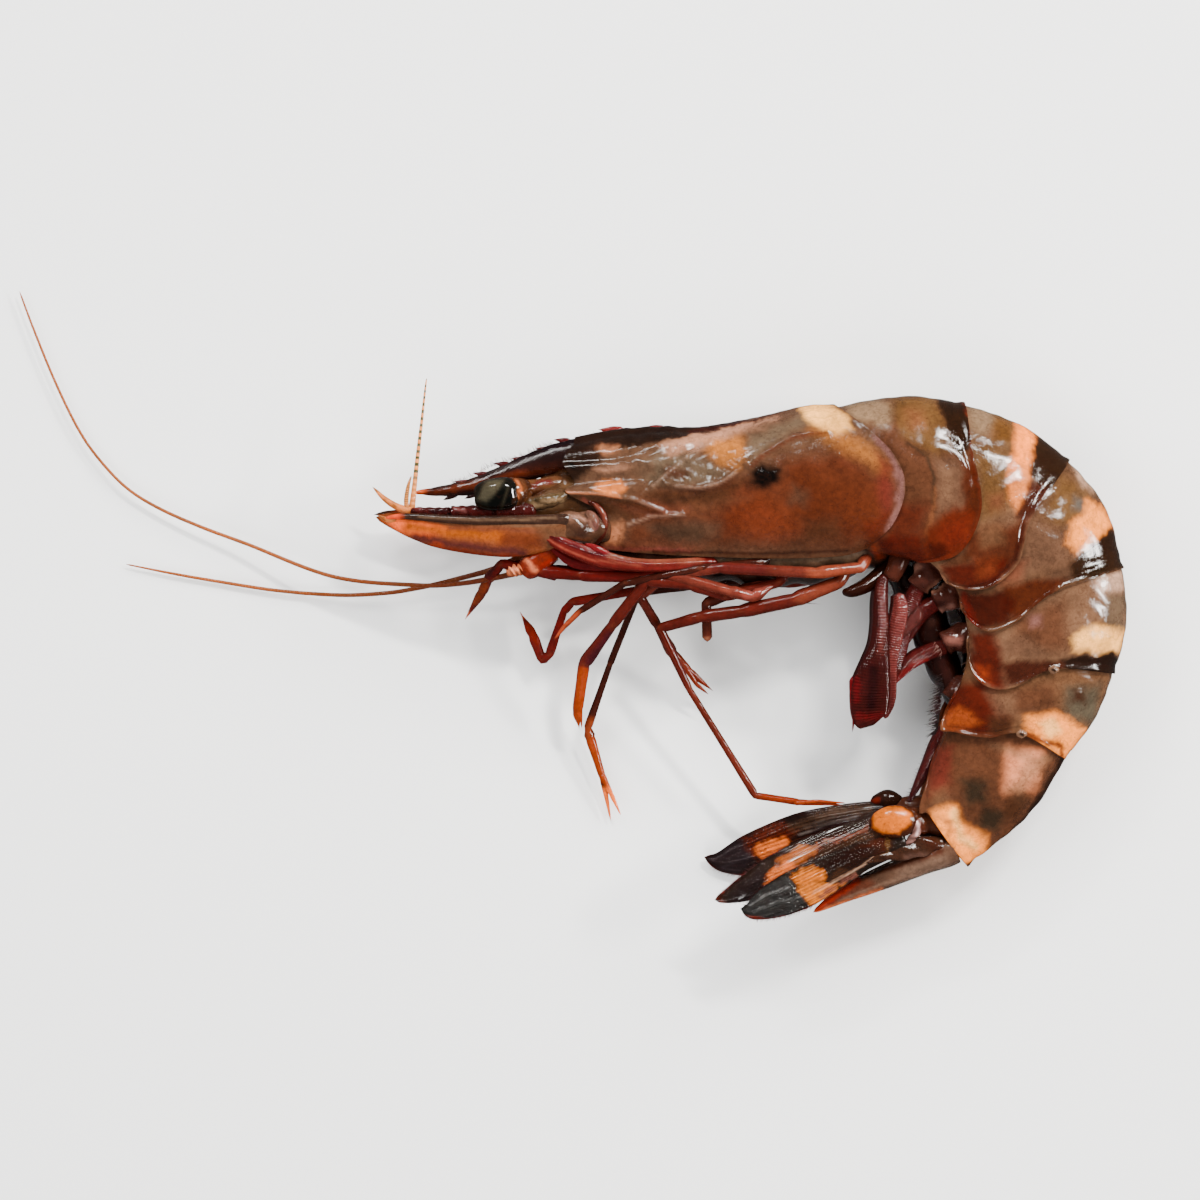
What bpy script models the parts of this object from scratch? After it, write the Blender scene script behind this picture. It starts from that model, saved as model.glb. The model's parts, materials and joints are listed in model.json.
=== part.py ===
# Raw prawn with its head and legs on, lying on its right side.
# The head points to -X, the back faces +Y, the belly faces -Y and the left side faces up.
import bmesh
import bpy
from math import cos, pi, radians, sin
from mathutils import Matrix, Vector

# Driving sizes in millimetres
MM = 0.001
MID_HEIGHT = 10.4
BACK_ROUNDNESS = 0.75
PLATE_ANGLE = 0.8 * pi
PROFILE_STEPS = 10
BELLY_STEP = 8
HEAD_STEPS = 10
PLATE_THICKNESS = 1.1
PLATE_EDGE_THICKNESS = 0.6
TUCK_DEPTH = 2.5
TUCK_INSET = 0.8
RIM_FLARE = 0.25
RING_BULGE = 0.35
LEG_SIDES = 6
BLADE_SIDES = 10
WELD = 0.002
FLAT_ANGLE = radians(0.5)

# Rear edges of the head shell and of the six tail rings, each from the back down to the belly
REAR_EDGES = [
    [(42.5, 31.6), (47.9, 27.3), (51.9, 23.1), (53.4, 18.2), (51.6, 12.6), (47.6, 8.6)],
    [(63.3, 31.9), (64.1, 24.4), (65.5, 15.1), (62.3, 8.1), (57.0, 6.3), (54.3, 6.8)],
    [(80.1, 22.8), (73.4, 13.2), (71.3, 6.2), (66.5, 2.3), (61.0, 2.6), (58.5, 6.5)],
    [(88.7, 5.5), (77.2, 1.7), (71.1, -3.0), (66.5, -4.6), (63.1, -2.0), (62.2, 1.7)],
    [(87.3, -11.4), (77.0, -10.6), (70.6, -13.5), (66.6, -13.4), (63.9, -10.5), (63.6, -4.7)],
    [(79.3, -25.0), (71.9, -20.9), (66.6, -21.5), (61.4, -20.6), (59.1, -19.6), (63.0, -12.1)],
    [(63.4, -41.7), (61.0, -38.8), (58.8, -35.8), (57.2, -33.5), (55.9, -32.6), (59.4, -21.2)],
]
# Highest point of each tail ring's back, halfway along the ring
RING_CRESTS = [(53.8, 32.7), (72.1, 28.1), (85.5, 15.1), (88.9, -3.1), (83.9, -18.5), (72.9, -33.5)]
# Half width of the body at each of the rear edges
HALF_WIDTHS = [10.5, 10.6, 10.3, 9.7, 8.7, 7.3, 4.6]

# Head shell: front edge from the back down, crest line and lower line from front to rear
HEAD_FRONT = [(1.0, 25.6), (-0.9, 22.5), (1.0, 19.1), (-0.4, 17.5), (5.7, 14.0), (5.5, 10.3), (4.6, 8.6)]
HEAD_CREST = [(1.0, 25.6), (7.0, 26.8), (14.6, 27.5), (21.0, 27.5), (27.1, 28.4), (33.2, 30.0),
              (38.2, 31.3), (42.5, 31.6)]
HEAD_LOWER = [(4.6, 8.6), (11.4, 7.9), (21.0, 7.3), (33.8, 7.0), (43.4, 7.4), (47.6, 8.6)]
HEAD_HALF_WIDTHS = [5.4, 7.6, 9.2, 10.0, 10.4, 10.5]


def along(values, share):
    """Point at a share of the way along a smooth curve through points, by length."""
    points = [Vector(value) for value in values]
    lengths = [0.0]
    for first, second in zip(points, points[1:]):
        lengths.append(lengths[-1] + (second - first).length)
    target = share * lengths[-1]
    index = 0
    while index < len(points) - 2 and lengths[index + 1] < target:
        index += 1
    start = points[index]
    end = points[index + 1]
    before = points[index - 1] if index > 0 else start * 2 - end
    after = points[index + 2] if index + 2 < len(points) else end * 2 - start
    part = (target - lengths[index]) / (lengths[index + 1] - lengths[index])
    return ((start * 2) + (end - before) * part
            + (before * 2 - start * 5 + end * 4 - after) * part ** 2
            + (start * 3 - before - end * 3 + after) * part ** 3) / 2


def number_along(numbers, share):
    """Value at a share of the way along evenly spaced numbers."""
    place = share * (len(numbers) - 1)
    index = min(int(place), len(numbers) - 2)
    return numbers[index] + (numbers[index + 1] - numbers[index]) * (place - index)


def add_solid(name, points, faces):
    """Closed mesh object from points in millimetres, linked to the parts to be fused."""
    mesh = bpy.data.meshes.new(name)
    mesh.from_pydata([tuple(Vector(point) * MM) for point in points], [], faces)
    work = bmesh.new()
    work.from_mesh(mesh)
    bmesh.ops.recalc_face_normals(work, faces=work.faces)
    bmesh.ops.triangulate(work, faces=work.faces)
    work.to_mesh(mesh)
    work.free()
    piece = bpy.data.objects.new(name, mesh)
    pieces.objects.link(piece)
    return piece


def ring_faces(count, size):
    """Side quads of a tube of closed rings that follow one another."""
    faces = []
    for row in range(count - 1):
        for column in range(size):
            after = (column + 1) % size
            faces.append((row * size + column, row * size + after,
                          (row + 1) * size + after, (row + 1) * size + column))
    return faces


def body_section(place, half_width):
    """Closed outline of a body slice: back, left plate, hollow belly, right plate.

    place gives the side-view point for a share of the way from the back to the plate edge.
    """
    outer = []
    inner = []
    for step in range(PROFILE_STEPS + 1):
        angle = PLATE_ANGLE * step / PROFILE_STEPS
        share = (1 - cos(angle)) / (1 - cos(PLATE_ANGLE))
        spot = place(share)
        width = half_width * sin(angle) ** BACK_ROUNDNESS if step else 0.0
        outer.append((spot.x, spot.y, width))
        if step >= BELLY_STEP:
            thickness = PLATE_THICKNESS if step < PROFILE_STEPS else PLATE_EDGE_THICKNESS
            inner.append((spot.x, spot.y, width - thickness))
    left = outer + inner[::-1]
    right = [(x, y, -width) for x, y, width in left[:0:-1]]
    return [(x, y, MID_HEIGHT + width) for x, y, width in left + right]


def section_caps(first, flip):
    """Faces that close one body slice whose points start at an index."""
    outer = list(range(PROFILE_STEPS + 1))
    inner = {BELLY_STEP + step: 2 * PROFILE_STEPS + 1 - BELLY_STEP - step
             for step in range(PROFILE_STEPS - BELLY_STEP + 1)}
    size = 2 * (len(outer) + len(inner)) - 1
    other = {index: (size - index) % size for index in range(size)}
    faces = [(0, 1, other[1])]
    for step in range(1, BELLY_STEP - 1):
        faces.append((step, step + 1, other[step + 1], other[step]))
    low = BELLY_STEP
    faces.append((low - 1, low, inner[low], other[inner[low]], other[low], other[low - 1]))
    for step in range(BELLY_STEP, PROFILE_STEPS):
        faces.append((step, step + 1, inner[step + 1], inner[step]))
        faces.append((other[step], other[inner[step]], other[inner[step + 1]], other[step + 1]))
    placed = [tuple(first + index for index in face) for face in faces]
    return [face[::-1] for face in placed] if flip else placed


def body_part(name, sections):
    """Solid through body slices."""
    size = len(sections[0])
    points = [point for section in sections for point in section]
    faces = ring_faces(len(sections), size)
    faces += section_caps(0, True)
    faces += section_caps((len(sections) - 1) * size, False)
    return add_solid(name, points, faces)


def patch(front, rear, crest, lower, share_along, share_down):
    """Side-view point of a skin stretched between four edge curves."""
    u = share_along
    v = share_down
    edges = along(front, v) * (1 - u) + along(rear, v) * u
    lines = along(crest, u) * (1 - v) + along(lower, u) * v
    corners = (Vector(front[0]) * (1 - u) + Vector(rear[0]) * u) * (1 - v)
    corners += (Vector(front[-1]) * (1 - u) + Vector(rear[-1]) * u) * v
    return edges + lines - corners


def build_head_shell():
    """Head shell with its curved rear edge and the eye notch in front."""
    sections = []
    for step in range(HEAD_STEPS + 1):
        share = step / HEAD_STEPS
        width = number_along(HEAD_HALF_WIDTHS, share)
        sections.append(body_section(
            lambda down: patch(HEAD_FRONT, REAR_EDGES[0], HEAD_CREST, HEAD_LOWER, share, down), width))
    body_part("head shell", sections)


def build_tail_rings():
    """Six rings, each tucked under the rim of the one before it."""
    for number, crest_point in enumerate(RING_CRESTS):
        rear = [Vector(point) for point in REAR_EDGES[number + 1]]
        before = [Vector(point) for point in REAR_EDGES[number]]
        middle = sum(before, Vector((0, 0))) / len(before)
        ahead = (middle - sum(rear, Vector((0, 0))) / len(rear)).normalized()
        front = []
        for point in before:
            inward = (middle - point).normalized() * TUCK_INSET
            front.append(point + ahead * TUCK_DEPTH + inward)
        crest = [front[0], Vector(crest_point), rear[0]]
        lower = [front[-1], rear[-1]]
        sections = []
        for share in (0.0, 0.2, 0.45, 0.7, 0.9, 1.0):
            width = HALF_WIDTHS[number] - TUCK_INSET
            width += (HALF_WIDTHS[number + 1] + TUCK_INSET - HALF_WIDTHS[number]) * share
            width += RING_BULGE * sin(pi * share) + (RIM_FLARE if share == 1.0 else 0.0)
            sections.append(body_section(
                lambda down: patch(front, rear, crest, lower, share, down), width))
        body_part("tail ring " + str(number + 1), sections)


def limb(name, stations, sides=LEG_SIDES, roll=0.0, smooth=0):
    """Tapered solid along stations of x, y, height, half breadth and half thickness.

    The breadth lies level and roll turns it about the path; smooth adds curved steps between.
    """
    if smooth:
        count = (len(stations) - 1) * smooth
        places = []
        for index in range(count + 1):
            share = index / count
            place = along([station[:3] for station in stations], share)
            sizes = along_sizes(stations, share)
            places.append((place.x, place.y, place.z) + sizes)
        stations = places
    points = []
    for index, station in enumerate(stations):
        before = Vector(stations[max(index - 1, 0)][:3])
        after = Vector(stations[min(index + 1, len(stations) - 1)][:3])
        heading = (after - before).normalized()
        breadth = heading.cross(Vector((0, 0, 1))).normalized()
        height = breadth.cross(heading)
        turn = Matrix.Rotation(roll, 3, heading)
        for side in range(sides):
            angle = 2 * pi * side / sides
            offset = breadth * (cos(angle) * station[3]) + height * (sin(angle) * station[4])
            points.append(Vector(station[:3]) + turn @ offset)
    faces = ring_faces(len(stations), sides)
    faces.append(tuple(range(sides - 1, -1, -1)))
    last = (len(stations) - 1) * sides
    faces.append(tuple(range(last, last + sides)))
    return add_solid(name, points, faces)


def along_sizes(stations, share):
    """Half breadth and half thickness at a share of the way along, by length."""
    lengths = [0.0]
    for first, second in zip(stations, stations[1:]):
        lengths.append(lengths[-1] + (Vector(second[:3]) - Vector(first[:3])).length)
    target = share * lengths[-1]
    index = 0
    while index < len(stations) - 2 and lengths[index + 1] < target:
        index += 1
    part = (target - lengths[index]) / (lengths[index + 1] - lengths[index])
    first = stations[index]
    second = stations[index + 1]
    return (first[3] + (second[3] - first[3]) * part, first[4] + (second[4] - first[4]) * part)


def across(stations, shift=(0.0, 0.0)):
    """Stations of the same organ on the right side, with a small shift in the side view."""
    return [(x + shift[0], y + shift[1], 2 * MID_HEIGHT - z, breadth, thickness)
            for x, y, z, breadth, thickness in stations]


def both_sides(name, stations, shift=(0.0, 0.0), **settings):
    """The same organ left and right."""
    limb("left " + name, stations, **settings)
    settings["roll"] = -settings.get("roll", 0.0)
    limb("right " + name, across(stations, shift), **settings)


def round_stations(points, radii):
    """Stations of a round limb from 3-D points and radii."""
    return [tuple(point) + (radius, radius) for point, radius in zip(points, radii)]


def ball(name, centre, radii, detail):
    """Egg shape from its centre and its three half sizes."""
    mesh = bpy.data.meshes.new(name)
    work = bmesh.new()
    shape = Matrix.Translation(Vector(centre) * MM) @ Matrix.Diagonal((*[r * MM for r in radii], 1))
    bmesh.ops.create_icosphere(work, subdivisions=detail, radius=1.0, matrix=shape)
    work.to_mesh(mesh)
    work.free()
    piece = bpy.data.objects.new(name, mesh)
    pieces.objects.link(piece)


def build_rostrum():
    """Saw-toothed spike in front and the keel that runs back from it."""
    blade = [(-25.2, 17.6, 0.2, 0.2), (-20.6, 17.7, 0.8, 0.5), (-15.8, 18.4, 1.4, 0.8),
             (-11.0, 19.9, 1.9, 1.0), (-6.2, 21.6, 2.3, 1.2), (-1.4, 22.9, 2.9, 1.5),
             (5.0, 23.9, 3.2, 1.9), (11.4, 25.0, 2.7, 2.0), (21.0, 26.6, 1.5, 1.4),
             (31.0, 28.6, 1.2, 1.2), (38.0, 30.4, 0.8, 0.8)]
    limb("rostrum", [(x, y, MID_HEIGHT, high, thick) for x, y, high, thick in blade], sides=8)
    upper_tips = [(-18.4, 19.3), (-15.4, 20.6), (-12.1, 22.2), (-9.3, 23.0), (-5.4, 24.6),
                  (-2.4, 26.1), (4.7, 27.7), (11.3, 27.9)]
    for number, (x, y) in enumerate(upper_tips):
        tooth = [(x + 3.4, y - 0.9, MID_HEIGHT, 1.1, 0.6), (x + 1.6, y - 0.6, MID_HEIGHT, 0.7, 0.4),
                 (x, y, MID_HEIGHT, 0.1, 0.1)]
        limb("upper tooth " + str(number + 1), tooth)
    for number, (x, y) in enumerate([(-20.1, 16.4), (-16.7, 16.6)]):
        tooth = [(x + 2.6, y + 0.8, MID_HEIGHT, 0.7, 0.4), (x, y, MID_HEIGHT, 0.1, 0.1)]
        limb("lower tooth " + str(number + 1), tooth)


def build_front_of_head():
    """Block under the shell, eyes on stalks, scales, little feelers and the long feelers."""
    block = [(9.0, 16.5, 7.0, 5.4), (3.0, 16.3, 6.0, 5.6), (-3.0, 15.6, 4.4, 5.2), (-8.0, 14.6, 2.6, 3.8),
             (-10.5, 14.2, 1.4, 2.4)]
    limb("head block", [(x, y, MID_HEIGHT, high, thick) for x, y, high, thick in block], sides=12)
    for side, label in ((1, "left"), (-1, "right")):
        ball(label + " eye", (-11.4, 17.2, MID_HEIGHT + side * 5.4), (2.9, 3.2, 3.0), 2)
        ball(label + " feeler base", (2.3, 11.9, MID_HEIGHT + side * 6.2), (3.0, 2.0, 2.2), 2)
        ball(label + " jaw", (-5.2, 6.9, MID_HEIGHT + side * 4.4), (2.4, 1.9, 2.2), 2)
    stalk = [(0.0, 18.6, 12.4), (-5.0, 18.5, 14.0), (-9.6, 17.8, 15.4)]
    both_sides("eye stalk", round_stations(stalk, (2.0, 1.7, 2.1)), sides=8)
    scale = [(4.0, 11.8, 16.4, 1.7, 1.4), (-1.5, 11.0, 17.0, 2.5, 1.1), (-7.6, 10.4, 17.2, 3.1, 0.9),
             (-13.0, 10.4, 17.0, 3.0, 0.8), (-20.9, 11.2, 16.2, 2.5, 0.7), (-26.0, 12.3, 15.4, 1.5, 0.5),
             (-29.2, 13.1, 14.8, 0.2, 0.2)]
    both_sides("scale", scale, shift=(-1.8, 0.7), sides=BLADE_SIDES, roll=radians(12))
    feeler_stalk = [(-5.0, 14.8, 12.6), (-12.0, 14.5, 13.4), (-19.0, 14.4, 13.6), (-25.4, 14.5, 13.6)]
    both_sides("little feeler stalk", round_stations(feeler_stalk, (1.8, 1.4, 1.0, 0.8)))
    upright = [(-25.0, 14.6, 13.8), (-24.6, 18.0, 13.8), (-24.1, 22.8, 13.6), (-23.1, 32.4, 12.8),
               (-22.6, 35.9, 12.4)]
    limb("upright little feeler", round_stations(upright, (0.5, 0.4, 0.32, 0.22, 0.15)))
    spikes = [(-24.8, 14.5, 13.4), (-28.6, 16.1, 13.4), (-31.3, 18.5, 13.2)]
    both_sides("little feeler spike", round_stations(spikes, (0.55, 0.4, 0.15)), shift=(0.2, 0.2))


def build_long_feelers():
    """Two long feelers that sink from the head to the table."""
    left = [(-1.0, 10.0, 15.0), (-4.4, 7.4, 15.0), (-6.6, 5.4, 14.6), (-9.5, 4.4, 13.8),
            (-17.5, 3.0, 11.0), (-24.9, 2.8, 8.4), (-38.0, 4.2, 4.8), (-51.8, 9.4, 2.6),
            (-66.5, 15.3, 1.4), (-76.2, 23.6, 1.0), (-82.9, 35.6, 0.9), (-86.3, 43.9, 0.9),
            (-88.7, 50.3, 0.9)]
    radii = (0.9, 0.8, 0.7, 0.5, 0.42, 0.4, 0.38, 0.34, 0.3, 0.28, 0.25, 0.22, 0.2)
    limb("left long feeler", round_stations(left, radii), smooth=2)
    right = [(-1.0, 10.0, 6.0), (-4.6, 8.2, 5.8), (-8.6, 6.8, 5.4), (-12.6, 5.2, 4.8),
             (-19.9, 3.3, 3.4), (-29.7, 1.4, 1.9), (-37.0, 1.2, 1.2), (-46.9, 1.9, 0.8),
             (-56.7, 3.4, 0.6), (-63.6, 4.6, 0.6), (-71.6, 6.2, 0.6)]
    radii = (0.9, 0.8, 0.7, 0.55, 0.42, 0.38, 0.36, 0.33, 0.3, 0.26, 0.2)
    limb("right long feeler", round_stations(right, radii), smooth=2)


def build_mouth_and_legs():
    """Breast that carries the limbs, mouth limbs and the walking legs with their little claws."""
    breast = [(2.0, 11.0, 2.6, 4.6), (10.0, 9.4, 3.4, 5.6), (24.0, 8.8, 3.8, 6.6), (40.0, 9.2, 3.8, 7.0),
              (50.0, 10.5, 3.0, 6.4), (58.0, 12.0, 3.0, 5.0)]
    limb("breast", [(x, y, MID_HEIGHT, high, thick) for x, y, high, thick in breast], sides=12)
    petal = [(24.0, 6.6, 15.6, 0.9, 0.8), (12.0, 5.9, 17.4, 1.2, 0.7), (4.7, 7.1, 17.8, 1.6, 0.7),
             (-0.9, 9.2, 17.8, 1.2, 0.6), (-4.9, 11.3, 17.4, 0.2, 0.2)]
    both_sides("mouth petal", petal, sides=8)
    mouth_limb = [(24.0, 7.5, 14.0), (11.4, 4.1, 15.5), (1.8, 4.4, 15.8), (-4.6, 4.9, 15.4),
                  (-10.6, 6.2, 14.4), (-12.9, 3.6, 12.0), (-13.8, 1.7, 10.0), (-15.4, -0.6, 7.6),
                  (-16.7, -2.8, 5.4)]
    radii = (1.0, 1.1, 1.0, 0.9, 0.9, 0.8, 0.6, 0.7, 0.15)
    limb("left mouth limb", round_stations(mouth_limb, radii))
    limb("right mouth limb", across(round_stations(mouth_limb[:6], radii), (1.6, 0.4)))
    legs = {
        "first left leg": ([(36.0, 8.5, 12.0), (30.6, 6.4, 16.4), (21.0, 5.4, 17.0), (9.0, 3.1, 16.0),
                            (1.8, -1.4, 12.0), (-0.6, -3.8, 10.4), (-2.5, -6.2, 9.2)],
                           (0.9, 0.7, 0.65, 0.55, 0.45, 0.5, 0.12)),
        "first right leg": ([(22.0, 8.0, 7.0), (19.4, 3.9, 6.2), (11.4, 2.0, 6.0), (0.6, 0.1, 6.0),
                             (-0.4, -1.5, 5.8), (-3.1, -8.4, 4.0), (-4.1, -8.9, 3.6),
                             (-5.8, -5.2, 3.6), (-7.9, -1.4, 3.6)],
                            (0.9, 0.8, 0.7, 0.65, 0.6, 0.6, 0.8, 0.9, 0.12)),
        "second left leg": ([(37.0, 8.5, 13.0), (33.5, 3.2, 15.0), (25.0, 1.0, 15.4), (19.4, 2.8, 16.0),
                             (12.4, 3.5, 15.8), (7.0, -3.6, 12.0), (2.5, -9.8, 8.6), (1.7, -14.0, 6.8),
                             (1.4, -17.5, 5.4), (1.7, -20.4, 4.4)],
                            (1.0, 0.85, 0.8, 0.75, 0.75, 0.65, 0.65, 1.1, 0.9, 0.15)),
        "second right leg": ([(32.0, 8.0, 8.0), (28.0, 3.4, 8.0), (19.4, 2.6, 8.0), (11.2, 1.6, 7.8),
                              (6.6, -10.0, 5.0), (3.1, -20.1, 2.8), (3.4, -21.6, 2.6),
                              (5.5, -28.4, 1.8), (6.2, -31.6, 1.4), (6.8, -35.3, 0.8)],
                             (0.9, 0.75, 0.65, 0.6, 0.5, 0.5, 0.8, 0.9, 0.5, 0.12)),
        "third left leg": ([(49.0, 9.5, 13.0), (46.5, 5.6, 16.4), (39.4, 4.7, 17.4), (24.2, 5.5, 17.2),
                            (15.4, 4.2, 15.6), (11.4, 1.0, 13.4), (14.2, -3.6, 9.6), (16.7, -8.2, 6.4),
                            (19.4, -11.1, 4.8), (23.3, -14.3, 3.4)],
                           (0.9, 0.85, 0.8, 0.7, 0.65, 0.6, 0.55, 0.65, 0.9, 0.12)),
        "third right leg": ([(38.0, 8.5, 7.0), (30.0, 5.0, 4.6), (20.0, 4.6, 4.0), (9.0, 4.0, 4.2)],
                            (0.9, 0.7, 0.65, 0.4)),
        "fourth left leg": ([(46.0, 9.0, 12.0), (43.0, 3.2, 15.0), (35.9, 0.4, 15.6), (27.4, -1.4, 14.8),
                             (21.0, -2.3, 13.8), (14.6, -4.1, 12.0), (19.4, -14.0, 9.8),
                             (30.0, -31.0, 7.0), (37.0, -32.0, 8.4), (44.0, -32.4, 9.8)],
                            (1.0, 0.85, 0.8, 0.7, 0.65, 0.6, 0.5, 0.6, 0.5, 0.15)),
        "fourth right leg": ([(44.0, 9.0, 7.0), (37.0, 4.6, 5.0), (28.0, 4.4, 4.6), (19.0, 5.4, 4.4)],
                             (0.9, 0.75, 0.65, 0.4)),
        "broken left leg": ([(38.0, 8.5, 12.0), (33.0, 3.4, 12.6), (27.4, 2.0, 13.0), (22.0, -0.1, 13.2),
                             (21.8, -2.8, 12.4), (22.2, -6.3, 11.4)],
                            (0.9, 0.8, 0.75, 0.7, 0.6, 0.55)),
        "fifth right leg": ([(50.0, 9.5, 8.0), (44.0, 4.2, 6.0), (35.0, 3.0, 5.4), (27.0, 3.6, 5.4)],
                            (0.9, 0.8, 0.7, 0.4)),
    }
    for name, (points, radii) in legs.items():
        limb(name, round_stations(points, radii))
    finger = [(5.2, -27.6, 1.9), (6.9, -31.0, 2.0), (8.4, -34.3, 1.8)]
    limb("second right finger", round_stations(finger, (0.7, 0.4, 0.12)))
    finger = [(19.0, -10.8, 5.0), (20.6, -13.2, 4.6), (22.5, -14.8, 4.2)]
    limb("third left finger", round_stations(finger, (0.6, 0.4, 0.12)))


def build_swimming_legs():
    """Five pairs of paddles under the tail rings."""
    both_sides("front paddle", [(54.0, 11.0, 13.5, 2.2, 2.0), (51.0, 4.0, 15.0, 1.9, 1.7),
                                (49.6, -2.0, 15.6, 1.7, 1.2), (48.9, -8.0, 15.2, 2.0, 1.0),
                                (47.4, -13.4, 14.0, 2.4, 0.8), (46.7, -17.6, 12.8, 1.4, 0.5),
                                (46.6, -19.2, 12.2, 0.4, 0.3)], sides=8)
    both_sides("front paddle twin", [(50.0, -1.0, 14.4, 1.2, 1.0), (51.0, -8.0, 13.8, 1.5, 0.9),
                                     (50.8, -14.0, 12.4, 1.5, 0.7), (50.2, -18.8, 11.4, 0.6, 0.3)],
               sides=8)
    both_sides("second paddle", [(60.0, 10.0, 13.5, 2.4, 2.2), (56.0, 3.0, 14.6, 2.2, 1.9),
                                 (53.6, -2.0, 14.4, 1.7, 1.4), (52.8, -7.6, 13.4, 1.3, 0.8),
                                 (51.6, -13.6, 11.8, 0.4, 0.3)], sides=8)
    both_sides("third paddle", [(66.0, 3.5, 13.5, 2.4, 2.2), (60.0, 0.6, 14.4, 2.2, 2.0),
                                (56.0, -1.6, 13.6, 1.7, 1.3), (53.8, -5.0, 12.6, 1.3, 0.9),
                                (52.8, -8.4, 11.6, 0.4, 0.3)], sides=8)
    both_sides("fourth paddle", [(68.0, -6.0, 13.2, 2.2, 2.2), (61.6, -5.6, 14.0, 2.2, 2.0),
                                 (57.6, -8.0, 13.8, 1.5, 1.1), (54.4, -9.4, 13.0, 1.3, 0.8),
                                 (51.8, -13.2, 11.8, 0.4, 0.3)], sides=8)
    both_sides("fifth paddle", [(67.0, -13.6, 12.6, 2.0, 2.0), (61.8, -14.0, 13.2, 1.9, 1.6),
                                (60.0, -18.5, 13.4, 1.3, 1.0), (57.6, -24.4, 12.6, 1.0, 0.7),
                                (54.4, -31.0, 11.8, 0.3, 0.3)], sides=8)


def build_tail_fan():
    """Pointed middle plate, the lobes beside it and their short stems."""
    middle = [(66.0, -37.0, 3.6, 3.6), (60.2, -39.8, 2.6, 4.0), (56.6, -41.4, 2.2, 3.8),
              (49.8, -44.2, 1.9, 3.0), (44.2, -46.6, 1.4, 2.0), (39.1, -49.6, 0.2, 0.3)]
    limb("tail spike", [(x, y, MID_HEIGHT, high, thick) for x, y, high, thick in middle],
         sides=BLADE_SIDES)
    left_stem = [(62.0, -35.0, 12.6, 3.0, 2.2), (56.0, -34.6, 13.6, 2.8, 2.2),
                 (51.0, -35.6, 14.2, 2.6, 1.8)]
    both_sides("lobe stem", left_stem, shift=(0.0, 1.6), sides=BLADE_SIDES)
    ball("left lobe knuckle", (51.4, -34.9, 15.4), (3.2, 2.1, 1.5), 2)
    ball("right lobe knuckle", (51.2, -31.6, 7.0), (2.4, 1.6, 1.6), 2)
    left_outer = [(53.0, -35.0, 13.8, 2.2, 1.4), (46.3, -37.2, 13.8, 2.8, 1.0),
                  (39.2, -40.5, 13.4, 3.6, 0.8), (32.7, -43.5, 13.0, 3.3, 0.7),
                  (27.5, -46.0, 12.6, 2.1, 0.6), (23.3, -47.3, 12.4, 0.3, 0.3)]
    limb("left outer lobe", left_outer, sides=BLADE_SIDES, roll=radians(-18))
    left_inner = [(54.0, -38.0, 14.0, 1.8, 1.2), (47.0, -40.4, 15.2, 2.6, 0.9),
                  (43.2, -42.3, 15.6, 3.2, 0.8), (37.6, -45.2, 15.6, 3.7, 0.7),
                  (33.0, -47.4, 15.2, 3.2, 0.6), (29.0, -48.7, 14.6, 1.6, 0.5),
                  (27.2, -48.4, 14.4, 0.3, 0.3)]
    limb("left inner lobe", left_inner, sides=BLADE_SIDES, roll=radians(14))
    right_outer = [(53.0, -33.4, 7.0, 2.0, 1.4), (44.6, -35.4, 5.6, 3.4, 1.0),
                   (37.8, -37.6, 4.2, 4.3, 0.8), (30.0, -40.5, 2.6, 3.9, 0.7),
                   (25.0, -41.7, 1.5, 2.2, 0.6), (21.7, -41.0, 0.8, 0.3, 0.3)]
    limb("right outer lobe", right_outer, sides=BLADE_SIDES, roll=radians(16))
    right_inner = [(54.0, -37.4, 7.6, 1.8, 1.2), (47.0, -39.6, 7.4, 2.6, 0.9),
                   (40.0, -42.6, 7.8, 3.2, 0.7), (34.0, -44.6, 7.8, 2.8, 0.6),
                   (29.0, -46.0, 7.6, 0.3, 0.3)]
    limb("right inner lobe", right_inner, sides=BLADE_SIDES, roll=radians(-10))


def fuse(name):
    """One solid from all the parts, cut flat where it rests and centred over the origin."""
    seed = pieces.objects["breast"]
    pieces.objects.unlink(seed)
    bpy.context.scene.collection.objects.link(seed)
    union = seed.modifiers.new("fuse", "BOOLEAN")
    union.operation = "UNION"
    union.operand_type = "COLLECTION"
    union.collection = pieces
    union.solver = "MANIFOLD"
    bpy.context.view_layer.objects.active = seed
    bpy.ops.object.modifier_apply(modifier=union.name)
    for piece in list(pieces.objects):
        bpy.data.objects.remove(piece, do_unlink=True)
    bpy.data.collections.remove(pieces)
    work = bmesh.new()
    work.from_mesh(seed.data)
    everything = work.verts[:] + work.edges[:] + work.faces[:]
    cut = bmesh.ops.bisect_plane(work, geom=everything, plane_co=(0, 0, 0), plane_no=(0, 0, -1),
                                 clear_outer=True)
    rim = [item for item in cut["geom_cut"] if isinstance(item, bmesh.types.BMEdge)]
    bmesh.ops.holes_fill(work, edges=rim, sides=0)
    bmesh.ops.remove_doubles(work, verts=work.verts, dist=WELD * MM)
    bmesh.ops.dissolve_limit(work, angle_limit=FLAT_ANGLE, verts=work.verts, edges=work.edges)
    bmesh.ops.triangulate(work, faces=work.faces)
    bmesh.ops.recalc_face_normals(work, faces=work.faces)
    low = [min(vertex.co[axis] for vertex in work.verts) for axis in range(2)]
    high = [max(vertex.co[axis] for vertex in work.verts) for axis in range(2)]
    centre = Vector(((low[0] + high[0]) / 2, (low[1] + high[1]) / 2, 0))
    bmesh.ops.translate(work, verts=work.verts, vec=-centre)
    work.to_mesh(seed.data)
    work.free()
    seed.name = name
    seed.data.name = name
    return seed


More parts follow.
